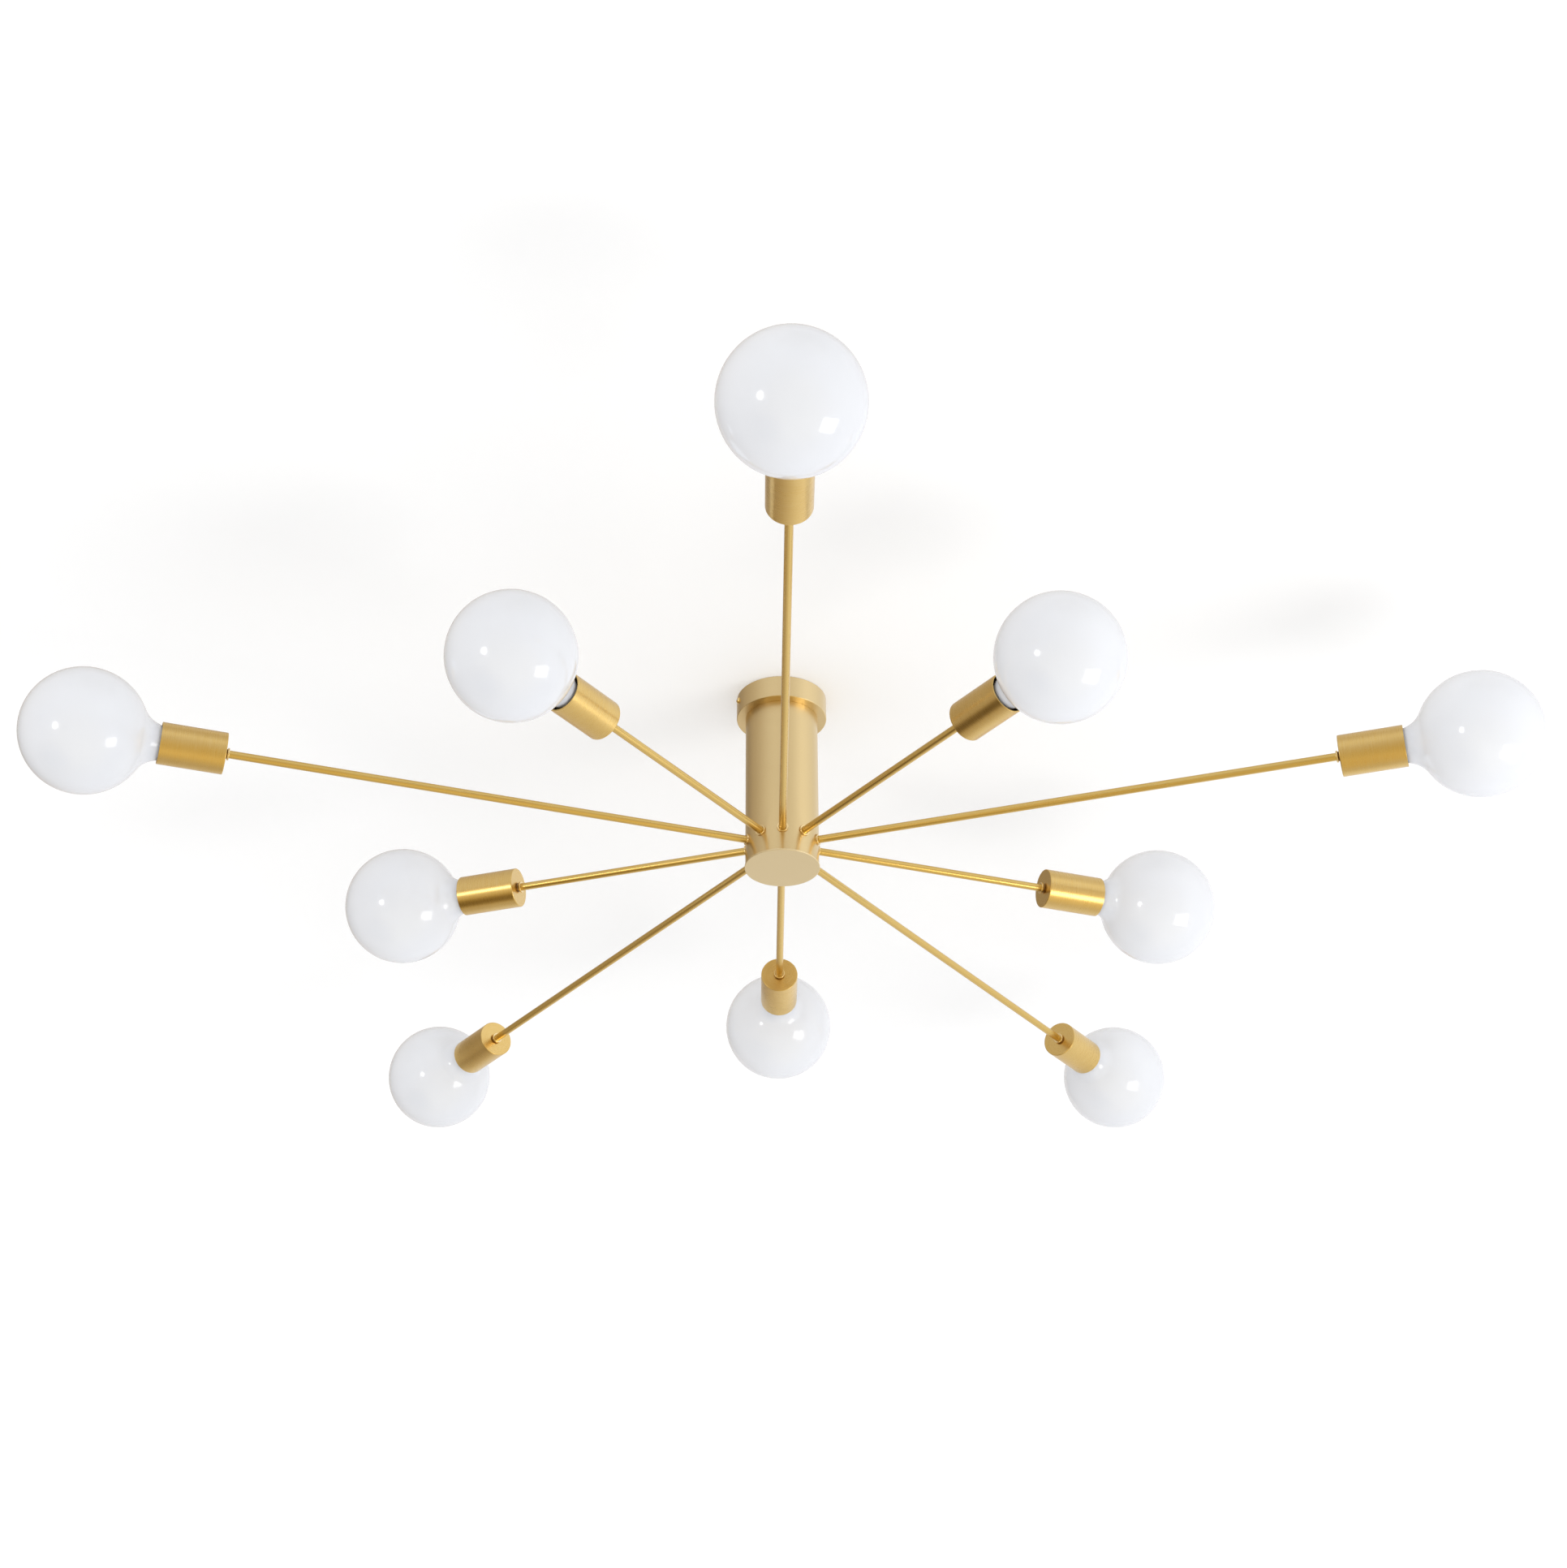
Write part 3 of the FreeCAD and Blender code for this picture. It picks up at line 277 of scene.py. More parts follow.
def finishTree(bench, shapes, given):
    # every tree ends in plain geometry with its material set
    solid = bench.node("GeometryNodeRealizeInstances", None, {"Geometry": shapes})
    painted = bench.node("GeometryNodeSetMaterial", None, {
        "Geometry": solid, "Material": given.out("Material"),
    })
    bench.node("NodeGroupOutput", None, {"Geometry": painted})


def makeArmTree():
    # the turned piece stands on each arm of a run of arms, long and short in turn
    tree, bench, given = newGeometryTree("alongArms", {
        **turnInputs,
        "First Arm": ("NodeSocketInt", 1),
        "Arms": ("NodeSocketInt", 10),
        "First Angle": ("NodeSocketFloat", 0.0),
        "Angle Step": ("NodeSocketFloat", 0.0),
        "Height": ("NodeSocketFloat", 0.0),
        "Long Reach": ("NodeSocketFloat", 0.0),
        "Short Reach": ("NodeSocketFloat", 0.0),
        "Saddle Radius": ("NodeSocketFloat", 0.0),
        "Material": ("NodeSocketMaterial", None),
    })
    piece = turnedGroup(bench, given)
    # a saddle bends the piece's back face, at zero length, round the column
    place = bench.node("GeometryNodeInputPosition")
    parts = bench.node("ShaderNodeSeparateXYZ", None, {0: place})
    saddle = given.out("Saddle Radius")
    sag = (saddle * saddle - parts.out("Y") * parts.out("Y")).sqrt() - saddle
    seated = bench.node("GeometryNodeSetPosition", None, {
        "Geometry": piece, "Selection": parts.out("X") < 0.05 * mm,
        "Offset": bench.vector(sag * (saddle > 0.0), 0.0, 0.0),
    })
    index = bench.node("GeometryNodeInputIndex") + (given.out("First Arm") - 1)
    angle = given.out("First Angle") + index * given.out("Angle Step")
    short = index % 2.0             # 0 on a long arm, 1 on a short one
    reach = given.out("Long Reach") * (1 - short) + given.out("Short Reach") * short
    spots = bench.node("GeometryNodeMeshLine", {"mode": "OFFSET"}, {"Count": given.out("Arms")})
    spread = bench.vector(reach * angle.cos(), reach * angle.sin(), given.out("Height"))
    spots = bench.node("GeometryNodeSetPosition", None, {"Geometry": spots, "Position": spread})
    placed = bench.node("GeometryNodeInstanceOnPoints", None, {
        "Points": spots, "Instance": seated, "Rotation": bench.vector(0.0, 0.0, angle),
    })
    finishTree(bench, placed, given)
    return tree


def makeUprightTree():
    # the turned piece hangs on the column's axis, its length counted down from the ceiling
    tree, bench, given = newGeometryTree("downColumn", {
        **turnInputs,
        "Material": ("NodeSocketMaterial", None),
    })
    hung = bench.node("GeometryNodeTransform", None, {
        "Geometry": turnedGroup(bench, given), "Rotation": (0.0, math.pi / 2, 0.0),
    })
    finishTree(bench, hung, given)
    return tree


armTree = makeArmTree()
uprightTree = makeUprightTree()


# outlines

def arcRun(centre, start, end, steps):
    # points on the shorter arc from start to end, both left out
    first = start - centre
    sweep = first.angle_signed(end - centre)
    return [centre + Matrix.Rotation(-sweep * n / steps, 2) @ first for n in range(1, steps)]


def roundedOutline(corners, closed=True, steps=5):
    # corners are (length, radius, edge round); every rounded edge gets an arc with a point held each side
    spots = [Vector(corner[:2]) for corner in corners]
    points = []
    for n, spot in enumerate(spots):
        edgeRound = corners[n][2] if len(corners[n]) > 2 else 0.0
        atEnd = not closed and n in (0, len(spots) - 1)
        if not edgeRound or atEnd:
            points.append(spot)
            continue
        before = spots[n - 1] - spot
        after = spots[(n + 1) % len(spots)] - spot
        half = before.angle(after) / 2
        before.normalize()
        after.normalize()
        start = spot + before * (edgeRound / math.tan(half))
        end = spot + after * (edgeRound / math.tan(half))
        centre = spot + (before + after).normalized() * (edgeRound / math.sin(half))
        hold = edgeRound * 0.4
        points += [start + before * hold, start, *arcRun(centre, start, end, steps), end, end + after * hold]
    if closed:
        points.append(points[0].copy())
    return points


def divided(points, low, high, spacing):
    # adds points to the straight stretches between two lengths, for a thread to bend
    result = [points[0]]
    for start, end in zip(points, points[1:]):
        count = 1
        if min(start.x, end.x) < high and max(start.x, end.x) > low:
            count = max(1, math.ceil(abs(end.x - start.x) / spacing))
        result += [start.lerp(end, n / count) for n in range(1, count + 1)]
    return result


def outlineObject(name, points):
    mesh = bpy.data.meshes.new(name)
    mesh.from_pydata([(p.x, p.y, 0) for p in points], [(n, n + 1) for n in range(len(points) - 1)], [])
    run = mesh.attributes.new("run", "FLOAT", "POINT")
    travelled = 0.0
    for n, point in enumerate(points):
        travelled += (point - points[n - 1]).length if n else 0.0
        run.data[n].value = travelled
    outline = bpy.data.objects.new(name, mesh)
    bpy.context.scene.collection.objects.link(outline)
    return outline


def freeze(holder, name):
    # the evaluated result becomes a plain mesh of its own
    graph = bpy.context.evaluated_depsgraph_get()
    mesh = bpy.data.meshes.new_from_object(holder.evaluated_get(graph))
    mesh.name = name
    bpy.data.objects.remove(holder)
    shell = bmesh.new()
    shell.from_mesh(mesh)
    bmesh.ops.remove_doubles(shell, verts=shell.verts, dist=weld)
    bmesh.ops.recalc_face_normals(shell, faces=shell.faces)
    shell.to_mesh(mesh)
    shell.free()
    mesh.shade_smooth()
    mesh.set_sharp_from_angle(angle=sharpAngle)
    piece = bpy.data.objects.new(name, mesh)
    bpy.context.scene.collection.objects.link(piece)
    return piece


def grow(name, tree, points, inputs):
    holder = outlineObject(f"{name}Outline", points)
    modifier = holder.modifiers.new(tree.name, "NODES")
    modifier.node_group = tree
    for socket in tree.interface.items_tree:
        if socket.in_out == "INPUT" and socket.name in inputs:
            modifier[socket.identifier] = inputs[socket.name]
    return freeze(holder, name)


def alongArms(name, points, material, **more):
    settings = {
        "First Arm": 1, "Arms": ring["count"], "First Angle": ring["firstAngle"], "Angle Step": ring["step"],
        "Height": ring["height"], "Long Reach": ring["longCup"], "Short Reach": ring["shortCup"],
        "Material": material,
    }
    settings.update(more)
    return grow(name, armTree, points, settings)


def downColumn(name, points, material, **more):
    return grow(name, uprightTree, points, {"Material": material, **more})


def declare(piece, body, slot, *nodes):
    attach(piece, body)
    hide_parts(*nodes)


def cutWith(piece, tools):
    # takes the tools' shapes out of a piece
    for tool in tools:
        modifier = piece.modifiers.new("cut", "BOOLEAN")
        modifier.operation = "DIFFERENCE"
        modifier.solver = "EXACT"
        modifier.object = tool
    graph = bpy.context.evaluated_depsgraph_get()
    mesh = bpy.data.meshes.new_from_object(piece.evaluated_get(graph))
    piece.modifiers.clear()
    old = piece.data
    piece.data = mesh
    bpy.data.meshes.remove(old)
    for tool in tools:
        bpy.data.objects.remove(tool)
    mesh.set_sharp_from_angle(angle=sharpAngle)


def rodTool(start, end, radius):
    # a plain round bar from one point to another, used only to cut holes
    mesh = bpy.data.meshes.new("tool")
    shape = bmesh.new()
    length = (end - start).length
    bmesh.ops.create_cone(shape, cap_ends=True, segments=48, radius1=radius, radius2=radius, depth=length)
    shape.to_mesh(mesh)
    shape.free()
    turn = (end - start).to_track_quat("Z", "Y").to_matrix().to_4x4()
    mesh.transform(Matrix.Translation((start + end) / 2) @ turn)
    tool = bpy.data.objects.new("tool", mesh)
    bpy.context.scene.collection.objects.link(tool)
    return tool


def boxTool(low, high):
    mesh = bpy.data.meshes.new("tool")
    shape = bmesh.new()
    bmesh.ops.create_cube(shape, size=1.0)
    shape.to_mesh(mesh)
    shape.free()
    size = high - low
    mesh.transform(Matrix.Translation((low + high) / 2) @ Matrix.Diagonal((*size, 1)))
    tool = bpy.data.objects.new("tool", mesh)
    bpy.context.scene.collection.objects.link(tool)
    return tool


# materials

def newMaterial(name):
    material = bpy.data.materials.new(name)
    material.use_nodes = True
    tree = material.node_tree
    tree.nodes.clear()
    return material, Bench(tree)


def finishMaterial(bench, sockets):
    shader = bench.node("ShaderNodeBsdfPrincipled", None, sockets)
    bench.node("ShaderNodeOutputMaterial", None, {"Surface": shader})


def seamlessRound(bench, alongScale, roundScale):
    # place on a turned piece: metres along the outline, and a circle for the turn so that no seam shows
    uv = bench.node("ShaderNodeUVMap", {"uv_map": "UVMap"})
    parts = bench.node("ShaderNodeSeparateXYZ", None, {0: uv})
    angle = parts.out("Y") * (2 * math.pi)
    return parts.out("X"), bench.vector(parts.out("X") * alongScale, angle.cos() * roundScale,
                                        angle.sin() * roundScale)


lacquer = {                         # shared by all the brass
    "smudge": (0.52, 0.72),         # noise values between which a smudge comes in
    "smudgeRough": 0.04,
    "smudgeCoat": 0.08,
    "coat": 0.10,
    "coatRough": 0.15,
    "hair": (0.35, 0.65),
    "hairDepth": 0.02 * mm,
    "brushTurn": 0.25,              # quarter turn, because the brush went round the piece
}


def brassMaterial(name, look):
    # satin brass: hairlines from the brush, slow tone changes under lacquer, faint smudges
    material, bench = newMaterial(name)
    grain = seamlessRound(bench, look["grainAlong"], look["grainRound"])[1]
    body = bench.node("ShaderNodeTexCoord").out("Object")
    hair = bench.noise(grain, 1.0, detail=3.0, roughness=0.65)
    patina = bench.noise(body, look["patinaScale"], detail=3.0, roughness=0.55)
    blots = bench.noise(body, look["smudgeScale"], detail=2.0, roughness=0.6, distortion=0.4)
    smudge = bench.between(blots, *lacquer["smudge"])
    tone = bench.mixed(patina, look["deep"], look["bright"])
    streaks = bench.between(hair, *lacquer["hair"]) * look["hairTone"]
    finishMaterial(bench, {
        "Base Color": bench.mixed(streaks, tone, look["pale"]),
        "Metallic": 1.0,
        "Roughness": look["roughness"] + (hair - 0.5) * look["hairRough"] + smudge * lacquer["smudgeRough"],
        "Normal": bench.bump(hair, look["hairBump"], lacquer["hairDepth"]),
        "Coat Weight": smudge * lacquer["smudgeCoat"] + lacquer["coat"],
        "Coat Roughness": lacquer["coatRough"],
        "Anisotropic": look.get("brushed", 0.0),
        "Anisotropic Rotation": lacquer["brushTurn"],
    })
    return material


satinLook = {
    "deep": (0.740, 0.560, 0.270), "bright": (0.800, 0.625, 0.325), "pale": (0.840, 0.690, 0.410),
    "roughness": 0.34, "grainAlong": 5200.0, "grainRound": 16.0, "patinaScale": 9.0, "smudgeScale": 14.0,
    "hairTone": 0.20, "hairRough": 0.08, "hairBump": 0.02,
    "brushed": 0.65,                        # turned about the column, so the sheen spreads up and down
}
# the cover is the column's satin brass with a rougher finish; its paler tone is painted light, standing in for the
# brighter downward face
paintedLightCoverLook = {
    **satinLook,
    "deep": (0.855, 0.710, 0.425), "bright": (0.895, 0.760, 0.485), "pale": (0.925, 0.805, 0.560),
    "roughness": 0.46, "brushed": 0.0,
}
cupLook = {
    "deep": (0.700, 0.465, 0.142), "bright": (0.800, 0.565, 0.198), "pale": (0.880, 0.695, 0.350),
    "roughness": 0.28, "grainAlong": 1900.0, "grainRound": 1.6, "patinaScale": 22.0, "smudgeScale": 30.0,
    "hairTone": 0.24, "hairRough": 0.08, "hairBump": 0.04,
}
rodLook = {
    "deep": (0.700, 0.475, 0.132), "bright": (0.785, 0.560, 0.188), "pale": (0.860, 0.665, 0.300),
    "roughness": 0.27, "grainAlong": 12.0, "grainRound": 12.0, "patinaScale": 6.0, "smudgeScale": 9.0,
    "hairTone": 0.10, "hairRough": 0.03, "hairBump": 0.006,
}
# the collars are the arms' brass with a glossier finish; their paler tone is painted light, standing in for the
# bright sheen on the rings
paintedLightCollarLook = {
    **rodLook,
    "deep": (0.830, 0.620, 0.290), "bright": (0.900, 0.710, 0.380), "pale": (0.940, 0.800, 0.520),
    "roughness": 0.17,
}
screwLook = {
    "deep": (0.780, 0.520, 0.160), "bright": (0.880, 0.640, 0.250), "pale": (0.950, 0.780, 0.440),
    "roughness": 0.12, "grainAlong": 3000.0, "grainRound": 2.0, "patinaScale": 60.0, "smudgeScale": 80.0,
    "hairTone": 0.20, "hairRough": 0.06, "hairBump": 0.03,
}


def opalMaterial():
    # white flashed glass under a glossy skin, a little darker in tone where the neck is drawn out
    look = {
        "body": (0.855, 0.878, 0.930), "cloud": (0.875, 0.897, 0.944), "neck": (0.760, 0.780, 0.835),
        "roughness": 0.10, "clouds": 14.0, "ripple": 42.0, "neckFade": (-14 * mm, 6 * mm),
    }
    material, bench = newMaterial("opalGlass")
    uv = bench.node("ShaderNodeUVMap", {"uv_map": "UVMap"})
    run = bench.node("ShaderNodeSeparateXYZ", None, {0: uv}).out("X")
    body = bench.node("ShaderNodeTexCoord").out("Object")
    clouds = bench.noise(body, look["clouds"], detail=2.0, roughness=0.5)
    ripple = bench.noise(body, look["ripple"], detail=1.0, roughness=0.4)
    tone = bench.mixed(bench.between(clouds, 0.3, 0.7), look["body"], look["cloud"])
    fadeStart, fadeEnd = (globe["neckRun"] + step for step in look["neckFade"])
    nearNeck = bench.between(run, fadeStart, fadeEnd)
    finishMaterial(bench, {
        "Base Color": bench.mixed(nearNeck, tone, look["neck"]),
        "Roughness": look["roughness"] + clouds * 0.05,
        "Normal": bench.bump(ripple, strength=0.05, distance=0.4 * mm),
        "IOR": 1.5,
        "Subsurface Weight": 0.25,
        "Subsurface Radius": (1.0, 1.0, 1.0),
        "Subsurface Scale": 4 * mm,
        "Coat Weight": 0.35 + ripple * 0.1,
        "Coat Roughness": 0.05,
    })
    return material


def plasticMaterial(name, tone, roughness, grain):
    # moulded plastic: fine spark texture and a slow change of gloss
    material, bench = newMaterial(name)
    body = bench.node("ShaderNodeTexCoord").out("Object")
    fine = bench.noise(body, grain, detail=3.0, roughness=0.6)
    slow = bench.noise(body, grain / 40, detail=2.0, roughness=0.5)
    lighter = tuple(min(1.0, c * 1.12 + 0.01) for c in tone)
    finishMaterial(bench, {
        "Base Color": bench.mixed(slow, tone, lighter),
        "Roughness": roughness + (fine - 0.5) * 0.18 + slow * 0.06,
        "Normal": bench.bump(fine, strength=0.25, distance=0.05 * mm),
    })
    return material


def platedMaterial(name, deep, bright, roughness, grain):
    # plated steel: cloudy plating over a lightly rolled surface
    material, bench = newMaterial(name)
    body = bench.node("ShaderNodeTexCoord").out("Object")
    stretched = bench.node("ShaderNodeVectorMath", {"operation": "MULTIPLY"}, {0: body, 1: (1.0, 0.08, 1.0)})
    rolled = bench.noise(stretched, grain, detail=3.0, roughness=0.6)
    cloud = bench.noise(body, grain / 14, detail=3.0, roughness=0.6)
    finishMaterial(bench, {
        "Base Color": bench.mixed(bench.between(cloud, 0.3, 0.7), deep, bright),
        "Metallic": 1.0,
        "Roughness": roughness + (cloud - 0.5) * 0.2 + (rolled - 0.5) * 0.12,
        "Normal": bench.bump(rolled, strength=0.15, distance=0.03 * mm),
    })
    return material


capLook = {
    "grainAlong": 1800.0, "grainRound": 3.0, "cloudScale": 160.0,
    "skirt": ((0.56, 0.55, 0.53), (0.74, 0.73, 0.71)),
    "glass": (0.012, 0.011, 0.014),
    "tip": ((0.42, 0.42, 0.43), (0.62, 0.62, 0.62)),
}


def capMaterial():
    # nickel-plated skirt, dark glass insulator and a soldered tip, told apart by the way along the outline
    material, bench = newMaterial("capMetal")
    run, grain = seamlessRound(bench, capLook["grainAlong"], capLook["grainRound"])
    body = bench.node("ShaderNodeTexCoord").out("Object")
    hair = bench.noise(grain, 1.0, detail=2.0, roughness=0.6)
    cloud = bench.noise(body, capLook["cloudScale"], detail=2.0, roughness=0.6)
    onGlass = (run > cap["coneRun"]) * (run < cap["tipRun"])
    onTip = (run > cap["tipRun"]) * (run < cap["insideRun"])
    skirt = bench.mixed(cloud, *capLook["skirt"])
    withGlass = bench.mixed(onGlass, skirt, capLook["glass"])
    withTip = bench.mixed(onTip, withGlass, bench.mixed(cloud, *capLook["tip"]))
    finishMaterial(bench, {
        "Base Color": withTip,
        "Metallic": 1 - onGlass,
        "Roughness": 0.20 + hair * 0.14 + onTip * 0.12 - onGlass * 0.12,
        "Normal": bench.bump(hair + onTip * cloud, strength=0.2, distance=0.03 * mm),
    })
    return material


# globes: driving sizes of the blown envelope

cupMouth = reachOf("cup_1", armDirection(1))[1] - ring["longCup"]
globeFar = reachOf("globe_1", armDirection(1))[1] - ring["longCup"]
globeLow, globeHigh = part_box("globe_1")
globe = {
    "radius": (globeHigh.z - globeLow.z) / 2,
    "wall": 0.9 * mm,
    "neckRadius": 17.25 * mm,       # at the cup's mouth
    "blend": 25 * mm,               # hollow curve from globe to neck
    "stemRadius": 12.3 * mm,
    "stemLength": 7 * mm,           # inside the cap
    "poleToNeck": 0.93,             # share of the half circle from the far pole to where the neck begins
    "bulbLength": 175.5 * mm,
    "capLength": 27 * mm,
    "segments": 112,
    "skinSteps": 56,
    "innerSteps": 28,
}
globe["centre"] = globeFar - globe["radius"]                      # from the cup's back
globe["capMouth"] = globeFar - globe["bulbLength"] + globe["capLength"]
globe["neckRun"] = globe["poleToNeck"] * math.pi * globe["radius"]


def glassSkin(inset, steps):
    # pole, globe, hollow blend and taper down to the stem; lengths count from the cup's back
    radius = globe["radius"] - inset
    blend = globe["blend"] + inset
    mouth = Vector((cupMouth - globe["centre"], globe["neckRadius"]))
    stemStart = Vector((globe["capMouth"] - globe["centre"], globe["stemRadius"]))
    taper = (stemStart - mouth).normalized()
    outward = Vector((taper.y, -taper.x))
    lineOff = outward.dot(mouth) - inset
    reach = math.sqrt((radius + blend) ** 2 - (lineOff + blend) ** 2)
    blendCentre = outward * (lineOff + blend) + taper * reach
    leaves = blendCentre * (radius / (radius + blend))
    meets = blendCentre - outward * blend
    stem = mouth - outward * inset
    stem += taper * ((stem.y - globe["stemRadius"] + inset) / -taper.y)
    pole = Vector((radius, 0))
    sweep = math.atan2(leaves.y, leaves.x)
    ball = [Vector((radius * math.cos(sweep * n / steps), radius * math.sin(sweep * n / steps)))
            for n in range(1, steps)]
    points = [pole, *ball, leaves, *arcRun(blendCentre, leaves, meets, steps // 4), meets, stem,
              stem - Vector((globe["stemLength"], 0))]
    shift = Vector((globe["centre"], 0))
    return [point + shift for point in points]


# caps

cap = {
    "radius": 13.2 * mm,
    "wall": 0.4 * mm,
    "threadDepth": 0.9 * mm,
    "threadPitch": 3.6 * mm,
    "skirt": 9.4 * mm,              # plain stretch by the glass
    "threadLength": 11.4 * mm,
    "coneLength": 4.7 * mm,
    "coneRadius": 7.5 * mm,
    "tipRadius": 4.75 * mm,
    "tipHeight": 1.5 * mm,
    "mouthEdge": 0.15 * mm,
    "shoulderEdge": 0.8 * mm,
    "coneEdge": 0.6 * mm,
    "tipEdge": 1.1 * mm,
    "threadFade": 1.2 * mm,
    "glassInset": 2.2 * mm,         # the dark glass starts this far in from the skirt
    "near": 0.1 * mm,
}


def capOutline():
    mouth = globe["capMouth"]
    tip = mouth - globe["capLength"]
    coneEnd = tip + cap["tipHeight"]
    coneStart = coneEnd + cap["coneLength"]
    inner = cap["radius"] - cap["wall"]
    outer = [
        (mouth, inner), (mouth, cap["radius"], cap["mouthEdge"]),
        (coneStart, cap["radius"], cap["shoulderEdge"]), (coneEnd, cap["coneRadius"], cap["coneEdge"]),
        (coneEnd, cap["tipRadius"]), (tip, cap["tipRadius"], cap["tipEdge"]), (tip, 0.0),
    ]
    inside = [(coneEnd + cap["wall"], 0.0), (coneEnd + cap["wall"], cap["coneRadius"] - cap["wall"]),
              (coneStart, inner), (mouth, inner)]
    points = roundedOutline(outer, closed=False) + [Vector(p) for p in inside]
    return divided(points, coneStart, mouth, cap["threadPitch"] / 14)


def runAt(points, test):
    # how far along an outline the first point lies that meets a test
    travelled = 0.0
    for before, point in zip(points, points[1:]):
        travelled += (point - before).length
        if test(point):
            return travelled
    return travelled


capPoints = capOutline()
cap["coneRun"] = runAt(capPoints, lambda p: p.y < cap["radius"] - cap["glassInset"])
cap["tipRun"] = runAt(capPoints, lambda p: p.y < cap["tipRadius"] + cap["near"])
cap["insideRun"] = runAt(capPoints, lambda p: p.y < weld)
print("outlines worked out")

finishes = {
    "satin_brass": brassMaterial("satinBrass", satinLook),
    "brushed_brass": brassMaterial("cupBrass", cupLook),
    "arm_brass": brassMaterial("armBrass", rodLook),
    "screw_brass": brassMaterial("screwBrass", screwLook),
    "shell_brass": platedMaterial("shellBrass", (0.60, 0.40, 0.14), (0.78, 0.56, 0.24), 0.24, 500.0),
    "zinc_steel": platedMaterial("zincSteel", (0.42, 0.43, 0.44), (0.62, 0.63, 0.63), 0.34, 420.0),
    # the nipples' steel is painted dark brown: painted shade of the narrow gap between collar and cup
    "neck_steel": platedMaterial("neckSteelPaintedShade", (0.22, 0.15, 0.07), (0.38, 0.27, 0.13), 0.30, 900.0),
    "opal_glass": opalMaterial(),
    "cap_metal": capMaterial(),
    "holder_black": plasticMaterial("holderBlack", (0.018, 0.018, 0.020), 0.42, 1400.0),
    "block_plastic": plasticMaterial("blockPlastic", (0.72, 0.72, 0.69), 0.34, 900.0),
    "splice_insulation": plasticMaterial("spliceInsulation", (0.68, 0.66, 0.60), 0.46, 900.0),
    "lead_insulation": plasticMaterial("leadInsulation", (0.74, 0.74, 0.72), 0.48, 1100.0),
}
# paler copy of the column's satin brass: painted light on the bottom cover
paintedLightCoverBrass = brassMaterial("paintedLightCoverBrass", paintedLightCoverLook)
# paler copy of the arms' brass: painted light on the collars
paintedLightCollarBrass = brassMaterial("paintedLightCollarBrass", paintedLightCollarLook)
for part in frame["record"]["subparts"]:
    node = frame["nodes"][part["node"]]
    node.data.materials.clear()
    node.data.materials.append(finishes[part["material_slot"]])
print("materials made:", len(finishes))


# canopy, column and bottom cover

canopy = {
    "radius": canopyTop.x,
    "height": -canopyFoot.z,
    "wall": 1.2 * mm,
    "edge": 0.9 * mm,
    "rimEdge": 0.2 * mm,
    "innerEdge": 0.6 * mm,
    "nippleHole": 5.1 * mm,
    "screwDepth": 9 * mm,
    "screwHole": 2.25 * mm,
    "band": 4 * mm,                 # rings this far above and below the screw holes
    "toolPast": 5 * mm,
}


def buildCanopy():
    floor = canopy["height"] - canopy["wall"]
    bore = canopy["radius"] - canopy["wall"]
    points = roundedOutline([
        (0.0, bore, canopy["rimEdge"]), (0.0, canopy["radius"], canopy["rimEdge"]),
        (canopy["height"], canopy["radius"], canopy["edge"]), (canopy["height"], canopy["nippleHole"]),
        (floor, canopy["nippleHole"]), (floor, bore, canopy["innerEdge"]),
    ])
    low, high = (canopy["screwDepth"] + side * canopy["band"] for side in (-1, 1))
    points = divided(points, low, high, canopy["band"])
    piece = downColumn("canopyCup", points, finishes["satin_brass"], Segments=144)
    across = Vector((canopy["radius"] + canopy["toolPast"], 0, 0))
    drop = Vector((0, 0, -canopy["screwDepth"]))
    cutWith(piece, [rodTool(drop - across, drop + across, canopy["screwHole"])])
    declare(piece, "lamp", "satin_brass", "canopy")


column = {
    "radius": ring["columnRadius"],
    "wall": 1.5 * mm,
    "top": -columnTop.z,
    "foot": -columnFoot.z,
    "edge": 0.25 * mm,
    "armHole": 4.1 * mm,
    "hold": 5 * mm,                 # rings this close to the arm holes keep the wall's shading even
    "toolPast": 3 * mm,
}


def buildColumn():
    bore = column["radius"] - column["wall"]
    points = roundedOutline([
        (column["top"], bore, column["edge"]), (column["top"], column["radius"], column["edge"]),
        (column["foot"], column["radius"], column["edge"]), (column["foot"], bore, column["edge"]),
    ])
    armDepth = -ring["height"]
    for depth in (armDepth - column["hold"], armDepth + column["hold"]):
        for radius in (column["radius"], bore):
            # the straight stretch of that wall which the new ring divides
            index = next(n for n in range(1, len(points))
                         if (points[n - 1].x - depth) * (points[n].x - depth) < 0
                         and abs(points[n].y - radius) < 10 * weld)
            points.insert(index, Vector((depth, radius)))
    piece = downColumn("columnTube", points, finishes["satin_brass"], Segments=160)
    tools = []
    for number in range(1, ring["count"] + 1):
        direction = armDirection(number)
        level = Vector((0, 0, ring["height"]))
        start = level + direction * (bore - column["toolPast"])
        end = level + direction * (column["radius"] + column["toolPast"])
        tools.append(rodTool(start, end, column["armHole"]))
    cutWith(piece, tools)
    declare(piece, "lamp", "satin_brass", "column_tube")


cover = {
    "radius": coverTop.x,
    "thickness": 1.6 * mm,
    "edge": 0.5 * mm,
    "lipEdge": 0.3 * mm,
    "lipWall": 1.5 * mm,
    "lipPlay": 0.05 * mm,
}


